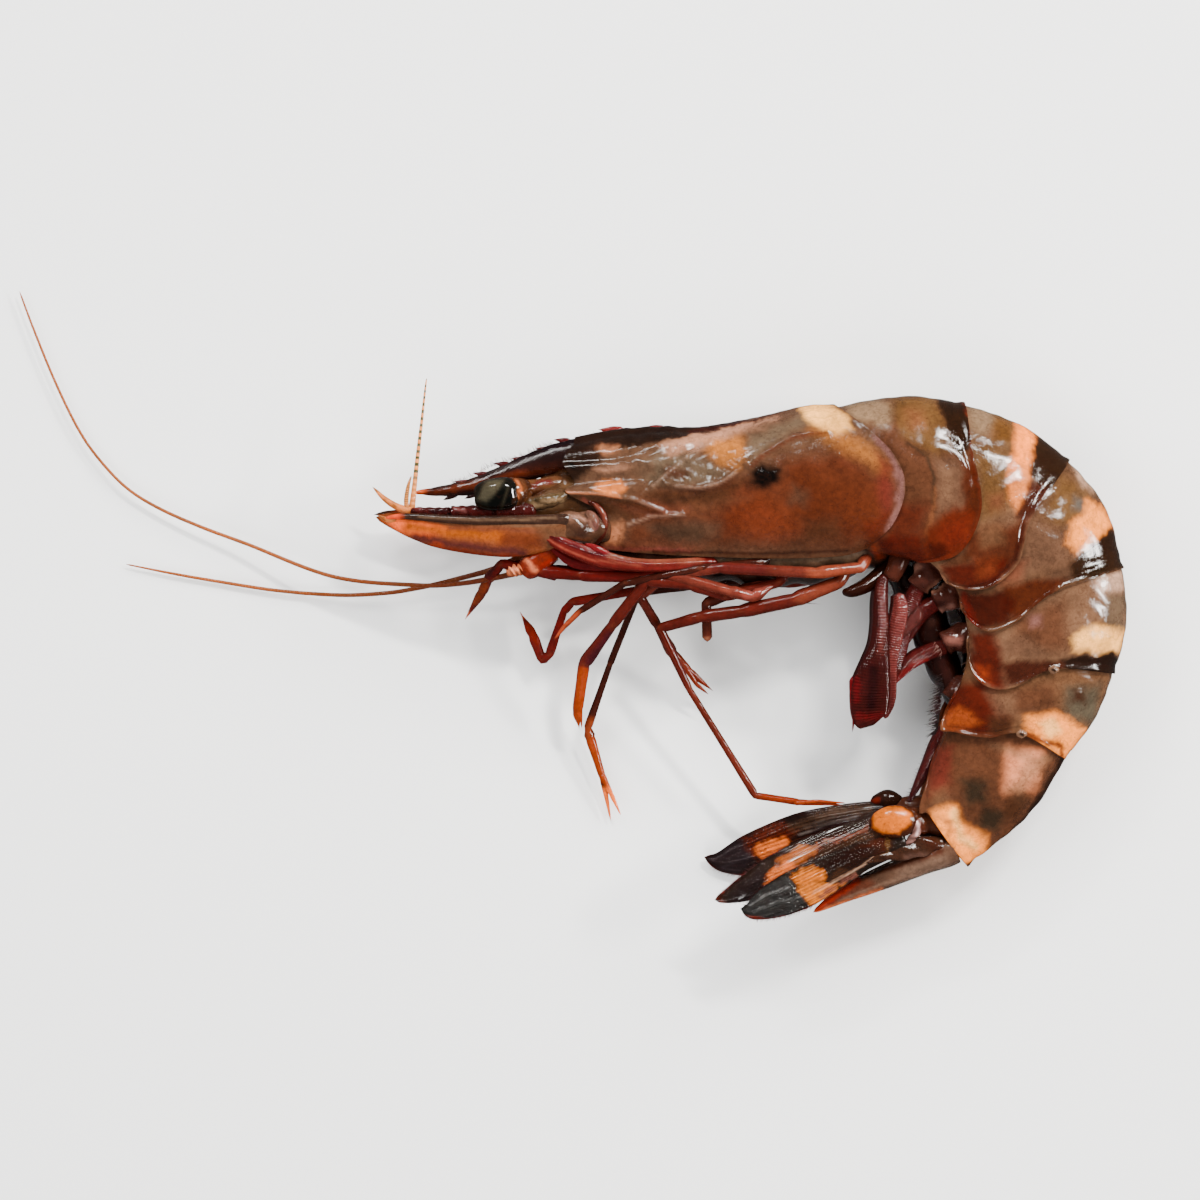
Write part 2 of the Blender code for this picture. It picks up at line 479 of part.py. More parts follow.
def shell_material():
    """Wet brown shell."""
    material = bpy.data.materials.new("shell")
    material.use_nodes = True
    surface = material.node_tree.nodes["Principled BSDF"]
    surface.inputs["Base Color"].default_value = (0.16, 0.085, 0.05, 1)
    surface.inputs["Roughness"].default_value = 0.35
    return material


for leftover in list(bpy.data.objects):
    bpy.data.objects.remove(leftover, do_unlink=True)
pieces = bpy.data.collections.new("parts to fuse")
bpy.context.scene.collection.children.link(pieces)

build_head_shell()
build_tail_rings()
build_rostrum()
build_front_of_head()
build_long_feelers()
build_mouth_and_legs()
build_swimming_legs()
build_tail_fan()
prawn = fuse("prawn")
prawn.data.materials.clear()
prawn.data.materials.append(shell_material())
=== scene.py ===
# The loading of the fixed frame, the camera straight above as in the photo, the pale table
# and the soft light of a window at the upper right with white surroundings.
import json
from math import cos, pi, radians, sin
import bpy
import numpy as np
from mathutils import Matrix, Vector, noise

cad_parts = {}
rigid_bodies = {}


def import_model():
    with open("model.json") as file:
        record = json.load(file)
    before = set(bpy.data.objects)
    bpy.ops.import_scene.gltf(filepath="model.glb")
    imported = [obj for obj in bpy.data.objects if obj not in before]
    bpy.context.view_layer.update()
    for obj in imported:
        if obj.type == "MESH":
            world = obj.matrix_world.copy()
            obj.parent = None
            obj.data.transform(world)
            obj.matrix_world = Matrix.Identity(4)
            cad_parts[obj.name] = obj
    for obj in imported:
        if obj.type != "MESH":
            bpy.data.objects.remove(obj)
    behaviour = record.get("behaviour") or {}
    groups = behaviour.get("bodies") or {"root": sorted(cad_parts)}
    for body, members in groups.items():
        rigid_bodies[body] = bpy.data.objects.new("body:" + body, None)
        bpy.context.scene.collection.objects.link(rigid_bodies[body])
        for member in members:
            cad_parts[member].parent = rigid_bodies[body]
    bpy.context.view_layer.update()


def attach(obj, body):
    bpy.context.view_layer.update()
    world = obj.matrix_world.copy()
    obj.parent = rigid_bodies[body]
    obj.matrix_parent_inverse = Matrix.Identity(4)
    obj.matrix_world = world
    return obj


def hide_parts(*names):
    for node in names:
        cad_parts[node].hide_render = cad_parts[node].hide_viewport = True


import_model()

MM = 0.001
MID = 10.4
PHOTO_SCALE = 0.16
PHOTO_SIDE = 1200
PHOTO_ZERO = (568.5, 602.5)


def from_photo(column, row):
    """Millimetres in the prawn's frame for a place in the photo."""
    return (column - PHOTO_ZERO[0]) * PHOTO_SCALE, (PHOTO_ZERO[1] - row) * PHOTO_SCALE


LENS_MM = 200
SENSOR_MM = 36
view_x, view_y = from_photo(PHOTO_SIDE / 2, PHOTO_SIDE / 2)
view_height = MID + PHOTO_SIDE * PHOTO_SCALE * LENS_MM / SENSOR_MM
bpy.ops.object.camera_add(location=(view_x * MM, view_y * MM, view_height * MM), rotation=(0, 0, 0))
camera = bpy.context.object
camera.name = "camera"
camera.data.lens = LENS_MM
camera.data.sensor_width = SENSOR_MM
camera.data.clip_end = 10
bpy.context.scene.camera = camera

bpy.ops.mesh.primitive_plane_add(size=6, location=(0, 0, -0.0002))
table = bpy.context.object
table.name = "table"
table.visible_glossy = False
table_look = bpy.data.materials.new("white table")
table_look.use_nodes = True
table_look.node_tree.nodes["Principled BSDF"].inputs["Base Color"].default_value = (0.9, 0.9, 0.895, 1)
table_look.node_tree.nodes["Principled BSDF"].inputs["Roughness"].default_value = 0.6
table.data.materials.append(table_look)


def soft_light(name, place, size, power, tint, mirrored):
    """Oblong soft box that looks at the prawn; only a mirrored one shows in the wet shell."""
    bpy.ops.object.light_add(type="AREA", location=place)
    lamp = bpy.context.object
    lamp.name = name
    lamp.data.shape = "RECTANGLE"
    lamp.data.size = size[0]
    lamp.data.size_y = size[1]
    lamp.data.energy = power
    lamp.data.color = tint
    lamp.visible_glossy = mirrored
    lamp.rotation_euler = (-Vector(place)).to_track_quat("-Z", "Y").to_euler()


soft_light("window", (0.41, 0.59, 0.70), (0.24, 0.06), 12.0, (1.0, 0.98, 0.95), True)
soft_light("side_window", (0.87, 0.08, 0.49), (0.20, 0.07), 9.0, (1.0, 0.98, 0.95), True)
soft_light("far_window", (-0.32, 0.74, 0.62), (0.24, 0.06), 4.0, (1.0, 0.99, 0.97), True)
soft_light("window_glow", (0.75, 0.62, 0.50), (0.8, 0.3), 15.0, (1.0, 0.98, 0.95), False)
soft_light("left_fill", (-1.0, 0.15, 0.9), (1.0, 1.0), 20.0, (0.98, 0.99, 1.0), False)
soft_light("near_fill", (0.1, -1.0, 0.9), (1.0, 1.0), 20.0, (1.0, 0.99, 0.98), False)
soft_light("far_fill", (-0.1, 1.1, 1.0), (1.0, 1.0), 18.0, (0.98, 0.99, 1.0), False)
sky = bpy.data.worlds.new("white room")
bpy.context.scene.world = sky
sky.use_nodes = True
sky.node_tree.nodes["Background"].inputs["Color"].default_value = (1.0, 1.0, 1.0, 1)
sky.node_tree.nodes["Background"].inputs["Strength"].default_value = 0.12

# The head shell: one stiff, wet, slightly see-through plate of chitin over the back and both
# sides, grown in one piece, with a notch for the eye, long grooves and a thin pale rear rim.
ROUNDNESS = 0.75
PLATE_ANGLE = 0.8 * pi
HEAD_FRONT = [(1.0, 25.6), (-0.9, 22.5), (1.0, 19.1), (-0.4, 17.5), (5.7, 14.0), (5.5, 10.3), (4.6, 8.6)]
HEAD_REAR = [(42.5, 31.6), (47.9, 27.3), (51.9, 23.1), (53.4, 18.2), (51.6, 12.6), (47.6, 8.6)]
HEAD_CREST = [(1.0, 25.6), (7.0, 26.8), (14.6, 27.5), (21.0, 27.5), (27.1, 28.4), (33.2, 30.0),
              (38.2, 31.3), (42.5, 31.6)]
HEAD_LOWER = [(4.6, 8.6), (11.4, 7.9), (21.0, 7.3), (33.8, 7.0), (43.4, 7.4), (47.6, 8.6)]
HEAD_WIDTHS = [5.4, 7.6, 9.2, 10.0, 10.4, 10.5]


def along(rows, shares):
    """Smooth curve through rows of numbers at shares of its length, by the first columns."""
    rows = np.asarray(rows, float)
    shares = np.atleast_1d(np.asarray(shares, float))
    places = rows[:, :min(3, rows.shape[1])]
    steps = np.linalg.norm(np.diff(places, axis=0), axis=1)
    lengths = np.concatenate([[0.0], np.cumsum(steps)])
    target = shares * lengths[-1]
    index = np.clip(np.searchsorted(lengths, target, side="right") - 1, 0, len(rows) - 2)
    part = ((target - lengths[index]) / steps[index])[:, None]
    padded = np.vstack([2 * rows[0] - rows[1], rows, 2 * rows[-1] - rows[-2]])
    before, start, end, after = (padded[index + k] for k in range(4))
    return (2 * start + (end - before) * part + (2 * before - 5 * start + 4 * end - after) * part ** 2
            + (3 * start - before - 3 * end + after) * part ** 3) / 2


def stretched(front, rear, crest, lower, u, v):
    """Side-view places of a skin between four edge curves, for shares along and down."""
    u2 = u[:, None]
    v2 = v[:, None]
    front = np.asarray(front, float)
    rear = np.asarray(rear, float)
    edges = along(front, v) * (1 - u2) + along(rear, v) * u2
    lines = along(crest, u) * (1 - v2) + along(lower, u) * v2
    corners = (front[0] * (1 - u2) + rear[0] * u2) * (1 - v2) + (front[-1] * (1 - u2) + rear[-1] * u2) * v2
    return edges + lines - corners


def near_line(x, y, line, reach):
    """1 on a line in the side view, fading to 0 at a distance; soft as a rounded fold."""
    line = along(line, np.linspace(0, 1, 24))
    best = np.full(len(x), 1e9)
    for (x1, y1), (x2, y2) in zip(line, line[1:]):
        dx = x2 - x1
        dy = y2 - y1
        part = np.clip(((x - x1) * dx + (y - y1) * dy) / (dx * dx + dy * dy), 0, 1)
        best = np.minimum(best, np.hypot(x - x1 - part * dx, y - y1 - part * dy))
    return np.exp(-(best / reach) ** 2)


def ride_on_prawn(piece):
    """Common closing of a piece: it rides on the root body, and the prawn's solid is hidden in its place."""
    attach(piece, "root")
    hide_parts("prawn")


def plate(name, rows, columns, place, half_width, relief, wall, look):
    """Shell over the back and both sides from a grid, whose UV runs front to rear and right to left."""
    bpy.ops.object.select_all(action="DESELECT")
    bpy.ops.mesh.primitive_grid_add(x_subdivisions=rows, y_subdivisions=columns, size=2)
    piece = bpy.context.object
    piece.name = name
    mesh = piece.data
    spots = np.empty(len(mesh.vertices) * 3)
    mesh.vertices.foreach_get("co", spots)
    spots = spots.reshape(-1, 3)
    u = (spots[:, 0] + 1) / 2
    around = spots[:, 1]
    angle = np.abs(around) * PLATE_ANGLE
    v = (1 - np.cos(angle)) / (1 - cos(PLATE_ANGLE))
    flat = place(u, v)
    width = half_width(u) * np.sin(angle) ** ROUNDNESS
    raised = relief(flat[:, 0], flat[:, 1], u, v)
    crest = place(u, np.zeros(len(u)))
    inward = place(u, np.full(len(u), 0.5)) - crest
    inward /= np.linalg.norm(inward, axis=1)[:, None]
    side_share = np.sin(angle)
    flat = flat - inward * (raised * np.maximum(np.cos(angle), 0))[:, None]
    width = width + raised * side_share
    made = np.column_stack([flat, MID + np.sign(around) * width]) * MM
    mesh.vertices.foreach_set("co", made.ravel())
    mesh.update()
    bpy.ops.object.mode_set(mode="EDIT")
    bpy.ops.mesh.select_all(action="SELECT")
    bpy.ops.mesh.normals_make_consistent(inside=False)
    bpy.ops.object.mode_set(mode="OBJECT")
    top = max(mesh.polygons, key=lambda face: face.center.z)
    if top.normal.z < 0:
        mesh.flip_normals()
    skin = piece.modifiers.new("wall", "SOLIDIFY")
    skin.thickness = wall * MM
    skin.offset = -1
    bpy.ops.object.modifier_apply(modifier=skin.name)
    bpy.ops.object.shade_smooth_by_angle(angle=radians(50))
    mesh.materials.append(look)
    ride_on_prawn(piece)
    return piece


COAT_SHARE = 0.18


class Shade:
    """A number that changes over a surface; sums and products of it add Math nodes."""

    def __init__(self, look, socket):
        self.look = look
        self.socket = socket

    def math(self, operation, *others):
        values = {place: value for place, value in enumerate((self,) + others)}
        return self.look.add("ShaderNodeMath", {"operation": operation}, values)

    def __add__(self, other):
        return self.math("ADD", other)

    def __radd__(self, other):
        return self.math("ADD", other)

    def __sub__(self, other):
        return self.math("SUBTRACT", other)

    def __rsub__(self, other):
        return (self * -1) + other

    def __mul__(self, other):
        return self.math("MULTIPLY", other)

    def step(self, low, high):
        """Smooth rise from 0 at low to 1 at high, or a fall where low is the larger."""
        return self.look.add("ShaderNodeMapRange", {"interpolation_type": "SMOOTHSTEP"},
                             {0: self, 1: low, 2: high, 3: 0.0, 4: 1.0})


class Look:
    """A wet shell material whose colours are laid on in side-view millimetres."""

    def __init__(self, name):
        self.material = bpy.data.materials.new(name)
        self.material.use_nodes = True
        self.tree = self.material.node_tree
        self.shader = self.tree.nodes["Principled BSDF"]
        self.place = self.add("ShaderNodeTexCoord", {}, {}, "Object")
        self.uv = self.add("ShaderNodeTexCoord", {}, {}, "UV")
        scaled = self.add("ShaderNodeVectorMath", {"operation": "SCALE"}, {0: self.place, "Scale": 1 / MM})
        self.x = self.add("ShaderNodeSeparateXYZ", {}, {0: scaled}, "X")
        self.along = self.add("ShaderNodeSeparateXYZ", {}, {0: self.uv}, "X")
        self.around = self.add("ShaderNodeSeparateXYZ", {}, {0: self.uv}, "Y")

    def add(self, kind, settings, values, output=0):
        """Node of a kind with settings, then values or links for its sockets; gives one output."""
        node = self.tree.nodes.new(kind)
        for key, value in settings.items():
            setattr(node, key, value)
        for key, value in values.items():
            if isinstance(value, Shade):
                self.tree.links.new(value.socket, node.inputs[key])
            else:
                node.inputs[key].default_value = value
        return Shade(self, node.outputs[output])

    def noise(self, scale, detail=4, roughness=0.55):
        """Cloudy pattern about 0.5 with a scale in waves per metre."""
        return self.add("ShaderNodeTexNoise", {}, {"Vector": self.place, "Scale": scale, "Detail": detail,
                                                   "Roughness": roughness}, "Fac")

    def mix(self, share, first, second):
        """Colour between two colours or colour links."""
        sockets = {"Factor": share, 6: first, 7: second}
        node = self.tree.nodes.new("ShaderNodeMix")
        node.data_type = "RGBA"
        for key, value in sockets.items():
            if isinstance(value, Shade):
                self.tree.links.new(value.socket, node.inputs[key])
            else:
                node.inputs[key].default_value = value
        return Shade(self, node.outputs[2])

    def finish(self, colour, roughness, coat, bump, depth):
        """Colour, gloss and relief on the shader."""
        self.wire("Base Color", colour)
        self.wire("Roughness", roughness)
        self.shader.inputs["Coat Weight"].default_value = coat * COAT_SHARE
        self.shader.inputs["Coat Roughness"].default_value = 0.04
        self.shader.inputs["IOR"].default_value = 1.38
        relief = self.add("ShaderNodeBump", {}, {"Height": bump, "Strength": 1.0, "Distance": depth * MM},
                          "Normal")
        self.wire("Normal", relief)
        return self.material

    def wire(self, socket, value):
        """A value or a link on one of the shader's sockets."""
        if isinstance(value, Shade):
            self.tree.links.new(value.socket, self.shader.inputs[socket])
        else:
            self.shader.inputs[socket].default_value = value


LIGHT_ON_TABLE = 2.8


def tone(red, green, blue):
    """Surface colour that looks like a screen colour, 0 to 255, in this light."""
    parts = [min(part / 255, 0.98) for part in (red, green, blue)]
    return tuple(min(0.75, part ** 2.2 / (1 - part ** 3.2) / LIGHT_ON_TABLE) for part in parts) + (1.0,)


def from_photo_line(*places):
    """Line through photo places, in side-view millimetres."""
    return [from_photo(column, row) for column, row in places]


BAR_BROWN = tone(50, 32, 20)
# Pale strokes along the head's ridges and folds: painted highlight.
PAINTED_RIDGE_HIGHLIGHT = tone(196, 170, 150)

SPIKE_GROOVE = from_photo_line((550, 461), (590, 459), (617, 457), (660, 452), (700, 446), (740, 437))
NECK_GROOVE = from_photo_line((642, 489), (665, 470), (688, 450), (706, 444))
GILL_RIDGE = from_photo_line((665, 485), (699, 489), (720, 484), (734, 474), (746, 465))
BACK_RIDGE = from_photo_line((746, 466), (768, 452), (791, 439), (825, 432))
CHEEK_RIDGE = from_photo_line((567, 494), (600, 495), (635, 502), (662, 512))
JAW_RIDGE = from_photo_line((628, 525), (651, 517), (683, 515))
CHEEK_HOLLOW = from_photo_line((600, 507), (640, 514), (700, 500), (742, 488))
NECK_FOLD = from_photo_line((652, 486), (672, 470), (693, 452), (712, 441))
EYE_HOLLOW = from_photo_line((575, 482), (610, 478), (650, 478))


def head_relief(x, y, u, v):
    """Ridges and grooves of the head shell in millimetres outwards."""
    raised = 0.9 * np.exp(-(v / 0.010) ** 2) * np.clip(1 - u, 0, 1) ** 0.5
    raised += 0.5 * near_line(x, y, GILL_RIDGE, 0.5) - 0.4 * near_line(x, y, SPIKE_GROOVE, 0.8)
    raised += 0.45 * near_line(x, y, BACK_RIDGE, 0.45) + 0.3 * near_line(x, y, NECK_FOLD, 0.45)
    raised -= 0.35 * near_line(x, y, NECK_GROOVE, 1.0) + 0.3 * near_line(x, y, EYE_HOLLOW, 1.1)
    raised += 0.55 * near_line(x, y, CHEEK_RIDGE, 0.5) + 0.4 * near_line(x, y, JAW_RIDGE, 0.4)
    raised -= 0.4 * near_line(x, y, CHEEK_HOLLOW, 1.3)
    front = np.clip((31 - x) / 6, 0, 1) * np.clip((y - 13) / 4, 0, 1)
    behind = np.clip((x - 4) / 6, 0, 1)
    dents = np.sin(x * 1.7 + 2 * np.sin(y * 0.9)) * np.sin(y * 1.9 + 1.3 * np.sin(x * 0.7))
    raised += (0.05 + 0.07 * front) * behind * dents
    raised += 0.14 * np.exp(-((1 - u) / 0.012) ** 2)
    raised += 0.12 * np.exp(-((1 - v) / 0.02) ** 2)
    return raised


UMBER = tone(104, 66, 46)
CHESTNUT = tone(102, 50, 30)
RUST = tone(116, 54, 32)
COPPER = tone(128, 74, 54)
BISTRE = tone(86, 54, 36)
DRAB = tone(92, 66, 50)
SLATE = tone(60, 48, 36)
TAN = tone(116, 84, 64)
SMOKE = tone(118, 98, 78)
CLAY = tone(192, 138, 98)
BLUSH = tone(188, 148, 120)
HONEY = tone(190, 132, 60)
AMBER = tone(210, 146, 72)
CREAM = tone(255, 194, 122)
PALE_PEACH = tone(222, 174, 130)
MAHOGANY = tone(86, 36, 18)
BRICK = tone(104, 40, 22)
WINE = tone(68, 22, 12)
ROSE = tone(118, 50, 40)
DUSKY_ROSE = tone(142, 76, 64)
LILAC = tone(146, 104, 98)
BLACK = tone(8, 10, 10)
KEEL_BLACK = tone(38, 24, 18)
HEAD_PAINT = [
    (CHESTNUT, 0.8, 16, 0, [(640, 500), (720, 480), (800, 470), (880, 500), (880, 548), (620, 548)]),
    (CHESTNUT, 0.9, 14, 0, [(775, 462), (840, 450), (884, 480), (886, 520), (850, 545), (790, 520)]),
    (RUST, 0.85, 13, 0, [(728, 494), (770, 496), (800, 528), (770, 540), (720, 528)]),
    (UMBER, 0.8, 10, 0, [(675, 498), (720, 492), (745, 500), (700, 516), (670, 514)]),
    (DRAB, 0.7, 7, 0, [(790, 486), (806, 492), (804, 508), (788, 504)]),
    (BISTRE, 0.75, 10, 0, [(800, 524), (836, 518), (842, 540), (800, 546)]),
    (DRAB, 0.85, 8, 0, [(640, 524), (690, 519), (722, 524), (716, 538), (690, 546), (650, 536)]),
    (SLATE, 0.6, 8, 0, [(664, 528), (700, 528), (704, 541), (670, 536)]),
    (CLAY, 0.85, 6, 0, [(607, 528), (622, 524), (618, 546), (602, 548)]),
    (COPPER, 0.7, 6, 0, [(620, 542), (680, 544), (700, 549), (610, 549)]),
    (BISTRE, 0.9, 7, 0, [(578, 499), (618, 500), (645, 512), (630, 522), (606, 518)]),
    (BISTRE, 0.9, 6, 0, [(640, 492), (699, 493), (724, 490), (742, 480), (738, 490), (708, 503), (660, 506)]),
    (COPPER, 0.7, 6, 0, [(612, 504), (650, 508), (690, 508), (660, 516), (630, 512)]),
    (SMOKE, 0.9, 8, 0, [(628, 462), (668, 452), (700, 458), (728, 474), (705, 484), (650, 484)]),
    (TAN, 0.7, 5, 0, [(618, 466), (650, 462), (656, 476), (625, 480)]),
    (MAHOGANY, 0.7, 5, 0, [(668, 468), (690, 470), (684, 480), (662, 481)]),
    (HONEY, 0.9, 9, 0, [(708, 440), (738, 436), (745, 452), (735, 468), (716, 462), (706, 450)]),
    (BLUSH, 0.9, 7, 0, [(660, 446), (690, 434), (735, 424), (775, 417), (740, 434), (700, 446), (668, 456)]),
    (SMOKE, 0.9, 8, 0, [(748, 438), (802, 414), (812, 424), (782, 438), (750, 460)]),
    (TAN, 0.95, 6, 0, [(555, 462), (600, 460), (650, 454), (640, 464), (610, 486), (560, 488)]),
    (BLUSH, 0.7, 4, 0, [(594, 470), (622, 464), (630, 468), (604, 475)]),
    (KEEL_BLACK, 0.97, 3, 0, [(550, 462), (562, 452), (584, 447), (604, 445), (622, 448), (644, 446),
                              (664, 440), (684, 437), (706, 432), (736, 424), (776, 414), (776, 404),
                              (650, 410), (550, 436)]),
    (CLAY, 0.75, 6, 0, [(584, 453), (600, 447), (616, 447), (614, 453), (596, 455)]),
    (KEEL_BLACK, 0.95, 5, 0, [(545, 440), (596, 444), (604, 458), (590, 470), (576, 484), (545, 488)]),
    (WINE, 0.9, 2.5, 2.0, [(692, 431), (734, 423), (770, 414), (802, 405)]),
    (CREAM, 0.97, 5, 0, [(797, 406), (826, 402), (838, 412), (850, 428), (836, 436), (812, 428)]),
    (HONEY, 0.75, 12, 0, [(812, 432), (846, 436), (874, 456), (884, 474), (866, 462), (830, 444)]),
    (ROSE, 0.8, 8, 0, [(876, 456), (890, 468), (894, 500), (882, 520), (874, 490)]),
    (BRICK, 0.75, 7, 0, [(862, 524), (890, 512), (884, 540), (866, 547)]),
    (LILAC, 0.8, 3, 3, [(874, 440), (888, 456), (898, 480), (897, 506), (888, 530)]),
    (BRICK, 0.65, 2.8, 1.6, [(750, 466), (768, 452), (791, 439), (825, 434)]),
    # Painted highlight: pale strokes along the neck fold and the gill ridge.
    (PAINTED_RIDGE_HIGHLIGHT, 0.3, 2.4, 0.8, [(652, 486), (672, 470), (693, 452), (712, 442)]),
    (PAINTED_RIDGE_HIGHLIGHT, 0.35, 2.4, 0.8, [(674, 487), (699, 489), (720, 483), (735, 473)]),
    (AMBER, 0.85, 3, 0, [(592, 489), (603, 482), (620, 483), (627, 491), (616, 496), (600, 494)]),
    (PALE_PEACH, 0.5, 1.6, 0.6, [(566, 493), (590, 494), (606, 496), (620, 498)]),
    # Painted highlight: a pale stroke along the jaw ridge and a short one above it.
    (PAINTED_RIDGE_HIGHLIGHT, 0.35, 2.0, 0.8, [(628, 525), (651, 517), (683, 515)]),
    (PAINTED_RIDGE_HIGHLIGHT, 0.25, 2.0, 0.8, [(640, 503), (660, 511)]),
    (DUSKY_ROSE, 0.9, 2.5, 2.2, [(584, 500), (602, 517), (605, 532), (596, 546), (640, 549), (690, 551)]),
    (tone(60, 30, 20), 0.8, 2, 1.2, [(653, 552), (760, 554), (846, 551)]),
    (BLACK, 0.98, 6, 0, [(749, 471), (762, 464), (777, 470), (778, 484), (764, 490), (750, 486)]),
    (BLACK, 0.9, 1.5, 2.0, [(571, 468), (573, 469)]),
]


def sunk_distance(columns, rows, places, half_width):
    """Distance in photo pixels outside an area, below 0 inside, or outside a line's half width."""
    closed = places if half_width else places + places[:1]
    nearest = np.full(len(columns), 1e9)
    inside = np.zeros(len(columns), bool)
    for (c1, r1), (c2, r2) in zip(closed, closed[1:]):
        dc = c2 - c1
        dr = r2 - r1
        part = np.clip(((columns - c1) * dc + (rows - r1) * dr) / (dc * dc + dr * dr), 0, 1)
        nearest = np.minimum(nearest, np.hypot(columns - c1 - part * dc, rows - r1 - part * dr))
        crossed = (r1 > rows) != (r2 > rows)
        inside ^= crossed & (columns < c1 + (rows - r1) * dc / (dr if dr else 1e-9))
    if half_width:
        return nearest - half_width
    return np.where(inside, -nearest, nearest)


WANDER_SEED = 7
noise.seed_set(WANDER_SEED)


def paint(piece, ground, shapes, wander=1.0):
    """Pigment of the shell, and in some shapes painted highlight and sheen, as a colour on each point:
    soft-edged areas and lines over a ground.
    """
    mesh = piece.data
    spots = np.empty(len(mesh.vertices) * 3)
    mesh.vertices.foreach_get("co", spots)
    spots = spots.reshape(-1, 3) / MM
    shift = np.array([noise.noise_vector(spot * 0.45) * 1.6 + noise.noise_vector(spot * 1.5)
                      for spot in map(Vector, spots)])
    shift = shift * 1.9 * wander
    columns = spots[:, 0] / PHOTO_SCALE + PHOTO_ZERO[0] + shift[:, 0]
    rows = PHOTO_ZERO[1] - spots[:, 1] / PHOTO_SCALE + shift[:, 1]
    colours = np.tile(np.array(ground, float), (len(spots), 1))
    for pigment_and_painted_light, strength, soft, half_width, places in shapes:
        calm = 0.8 if 0 < half_width < 1.5 else 0.0
        outside = sunk_distance(columns - shift[:, 0] * calm, rows - shift[:, 1] * calm, places, half_width)
        share = np.clip(0.5 - outside / (2 * soft), 0, 1)
        share = (share * share * (3 - 2 * share) * strength)[:, None]
        colours = colours * (1 - share) + np.array(pigment_and_painted_light) * share
    layer = mesh.color_attributes.new(name="pigment_and_painted_light", type="FLOAT_COLOR", domain="POINT")
    layer.data.foreach_set("color", colours.ravel())


def shell_look(name, coat, depth, ribs=0, lengthwise=0, wrinkles=0):
    """Wet shell over its painted colours, pigment and in places painted highlight and sheen: clouds, grain
    and freckles in the colour, fine leathery relief.

    ribs lie across and lengthwise ones along a limb; wrinkles gather towards its far end.
    """
    look = Look(name)
    pigment_and_painted_light = look.add("ShaderNodeAttribute", {"attribute_name": "pigment_and_painted_light"}, {}, "Color")
    clouds = look.noise(170, 5, 0.6)
    grain = look.noise(1100, 4, 0.7)
    strength = clouds.step(0.3, 0.7) * 0.42 + grain.step(0.3, 0.7) * 0.32 + 0.62
    relief = look.noise(420, 4) * 0.46 + look.noise(2100, 3, 0.7) * 0.18
    if ribs:
        relief = relief + (look.around * ribs).math("SINE") * 0.12
    if lengthwise:
        stripes = (look.along * lengthwise + look.noise(300, 2) * 3).math("SINE")
        relief = relief + stripes * 0.10
        strength = strength + stripes * 0.05
    if wrinkles:
        relief = relief + look.noise(620, 3, 0.6) * look.around.step(0.55, 0.7) * wrinkles
    colour = look.add("ShaderNodeVectorMath", {"operation": "SCALE"}, {0: pigment_and_painted_light, "Scale": strength})
    freckles = look.noise(2300, 2, 0.6).step(0.6, 0.72) * look.noise(260, 2).step(0.42, 0.6)
    colour = look.mix(freckles * 0.45, colour, tone(48, 24, 18))
    veins = look.noise(330, 3, 0.6).step(0.5, 0.54) * look.noise(330, 3, 0.6).step(0.58, 0.54)
    colour = look.mix(veins * 0.22, colour, tone(60, 34, 24))
    return look.finish(colour, clouds.step(0.2, 0.8) * 0.08 + 0.06, coat, relief, depth)


head_shell = plate("head_shell", 230, 180,
                   lambda u, v: stretched(HEAD_FRONT, HEAD_REAR, HEAD_CREST, HEAD_LOWER, u, v),
                   lambda u: np.interp(u, np.linspace(0, 1, len(HEAD_WIDTHS)), HEAD_WIDTHS),
                   head_relief, 0.4, shell_look("head shell", 1.0, 0.3))
paint(head_shell, tone(110, 78, 58), HEAD_PAINT)

# The six tail rings: stiff shell hoops over the meat, each tucked under the hoop in front,
# with a rounded side plate below, a hinge knob, and the kind's dark and peach bars.
RING_REARS = [
    HEAD_REAR,
    [(63.3, 31.9), (64.1, 24.4), (65.5, 15.1), (62.3, 8.1), (57.0, 6.3), (54.3, 6.8)],
    [(80.1, 22.8), (73.4, 13.2), (71.3, 6.2), (66.5, 2.3), (61.0, 2.6), (58.5, 6.5)],
    [(88.7, 5.5), (77.2, 1.7), (71.1, -3.0), (66.5, -4.6), (63.1, -2.0), (62.2, 1.7)],
    [(87.3, -11.4), (77.0, -10.6), (70.6, -13.5), (66.6, -13.4), (63.9, -10.5), (63.6, -4.7)],
    [(79.3, -25.0), (71.9, -20.9), (66.6, -21.5), (61.4, -20.6), (59.1, -19.6), (63.0, -12.1)],
    [(63.4, -41.7), (61.0, -38.8), (58.8, -35.8), (57.2, -33.5), (55.9, -32.6), (59.4, -21.2)],
]
RING_CRESTS = [(53.8, 32.7), (72.1, 28.1), (85.5, 15.1), (88.9, -3.1), (83.9, -18.5), (72.9, -33.5)]
RING_WIDTHS = [10.5, 10.6, 10.3, 9.7, 8.7, 7.3, 4.6]
TUCK_DEPTH = 2.5
TUCK_INSET = 0.8
COPPER_GLOW = tone(158, 78, 36)
PEWTER = tone(100, 94, 88)
BRONZE = tone(118, 78, 32)
RED_BROWN = tone(120, 42, 26)
SCARLET = tone(120, 30, 20)
APRICOT = tone(248, 160, 58)
PALE_CREAM = tone(255, 202, 146)
DARK_BISTRE = tone(76, 40, 24)
HAZEL = tone(124, 88, 62)
FAWN = tone(132, 98, 74)
# Grey-white of the translucent shell, partly painted sheen: at the rings' upper edges and on ring 6 it stands
# for reflected light.
MIST_AND_PAINTED_SHEEN = tone(154, 128, 100)
# Whitish at the upper edges of rings 3 and 4: painted sheen.
PAINTED_EDGE_SHEEN = tone(196, 170, 148)
PEACH = tone(250, 170, 76)
GINGER = tone(148, 94, 60)
OLIVE = tone(118, 84, 48)
MOSS = tone(98, 88, 72)
CARMINE = tone(90, 28, 16)
GLOW = tone(150, 62, 34)
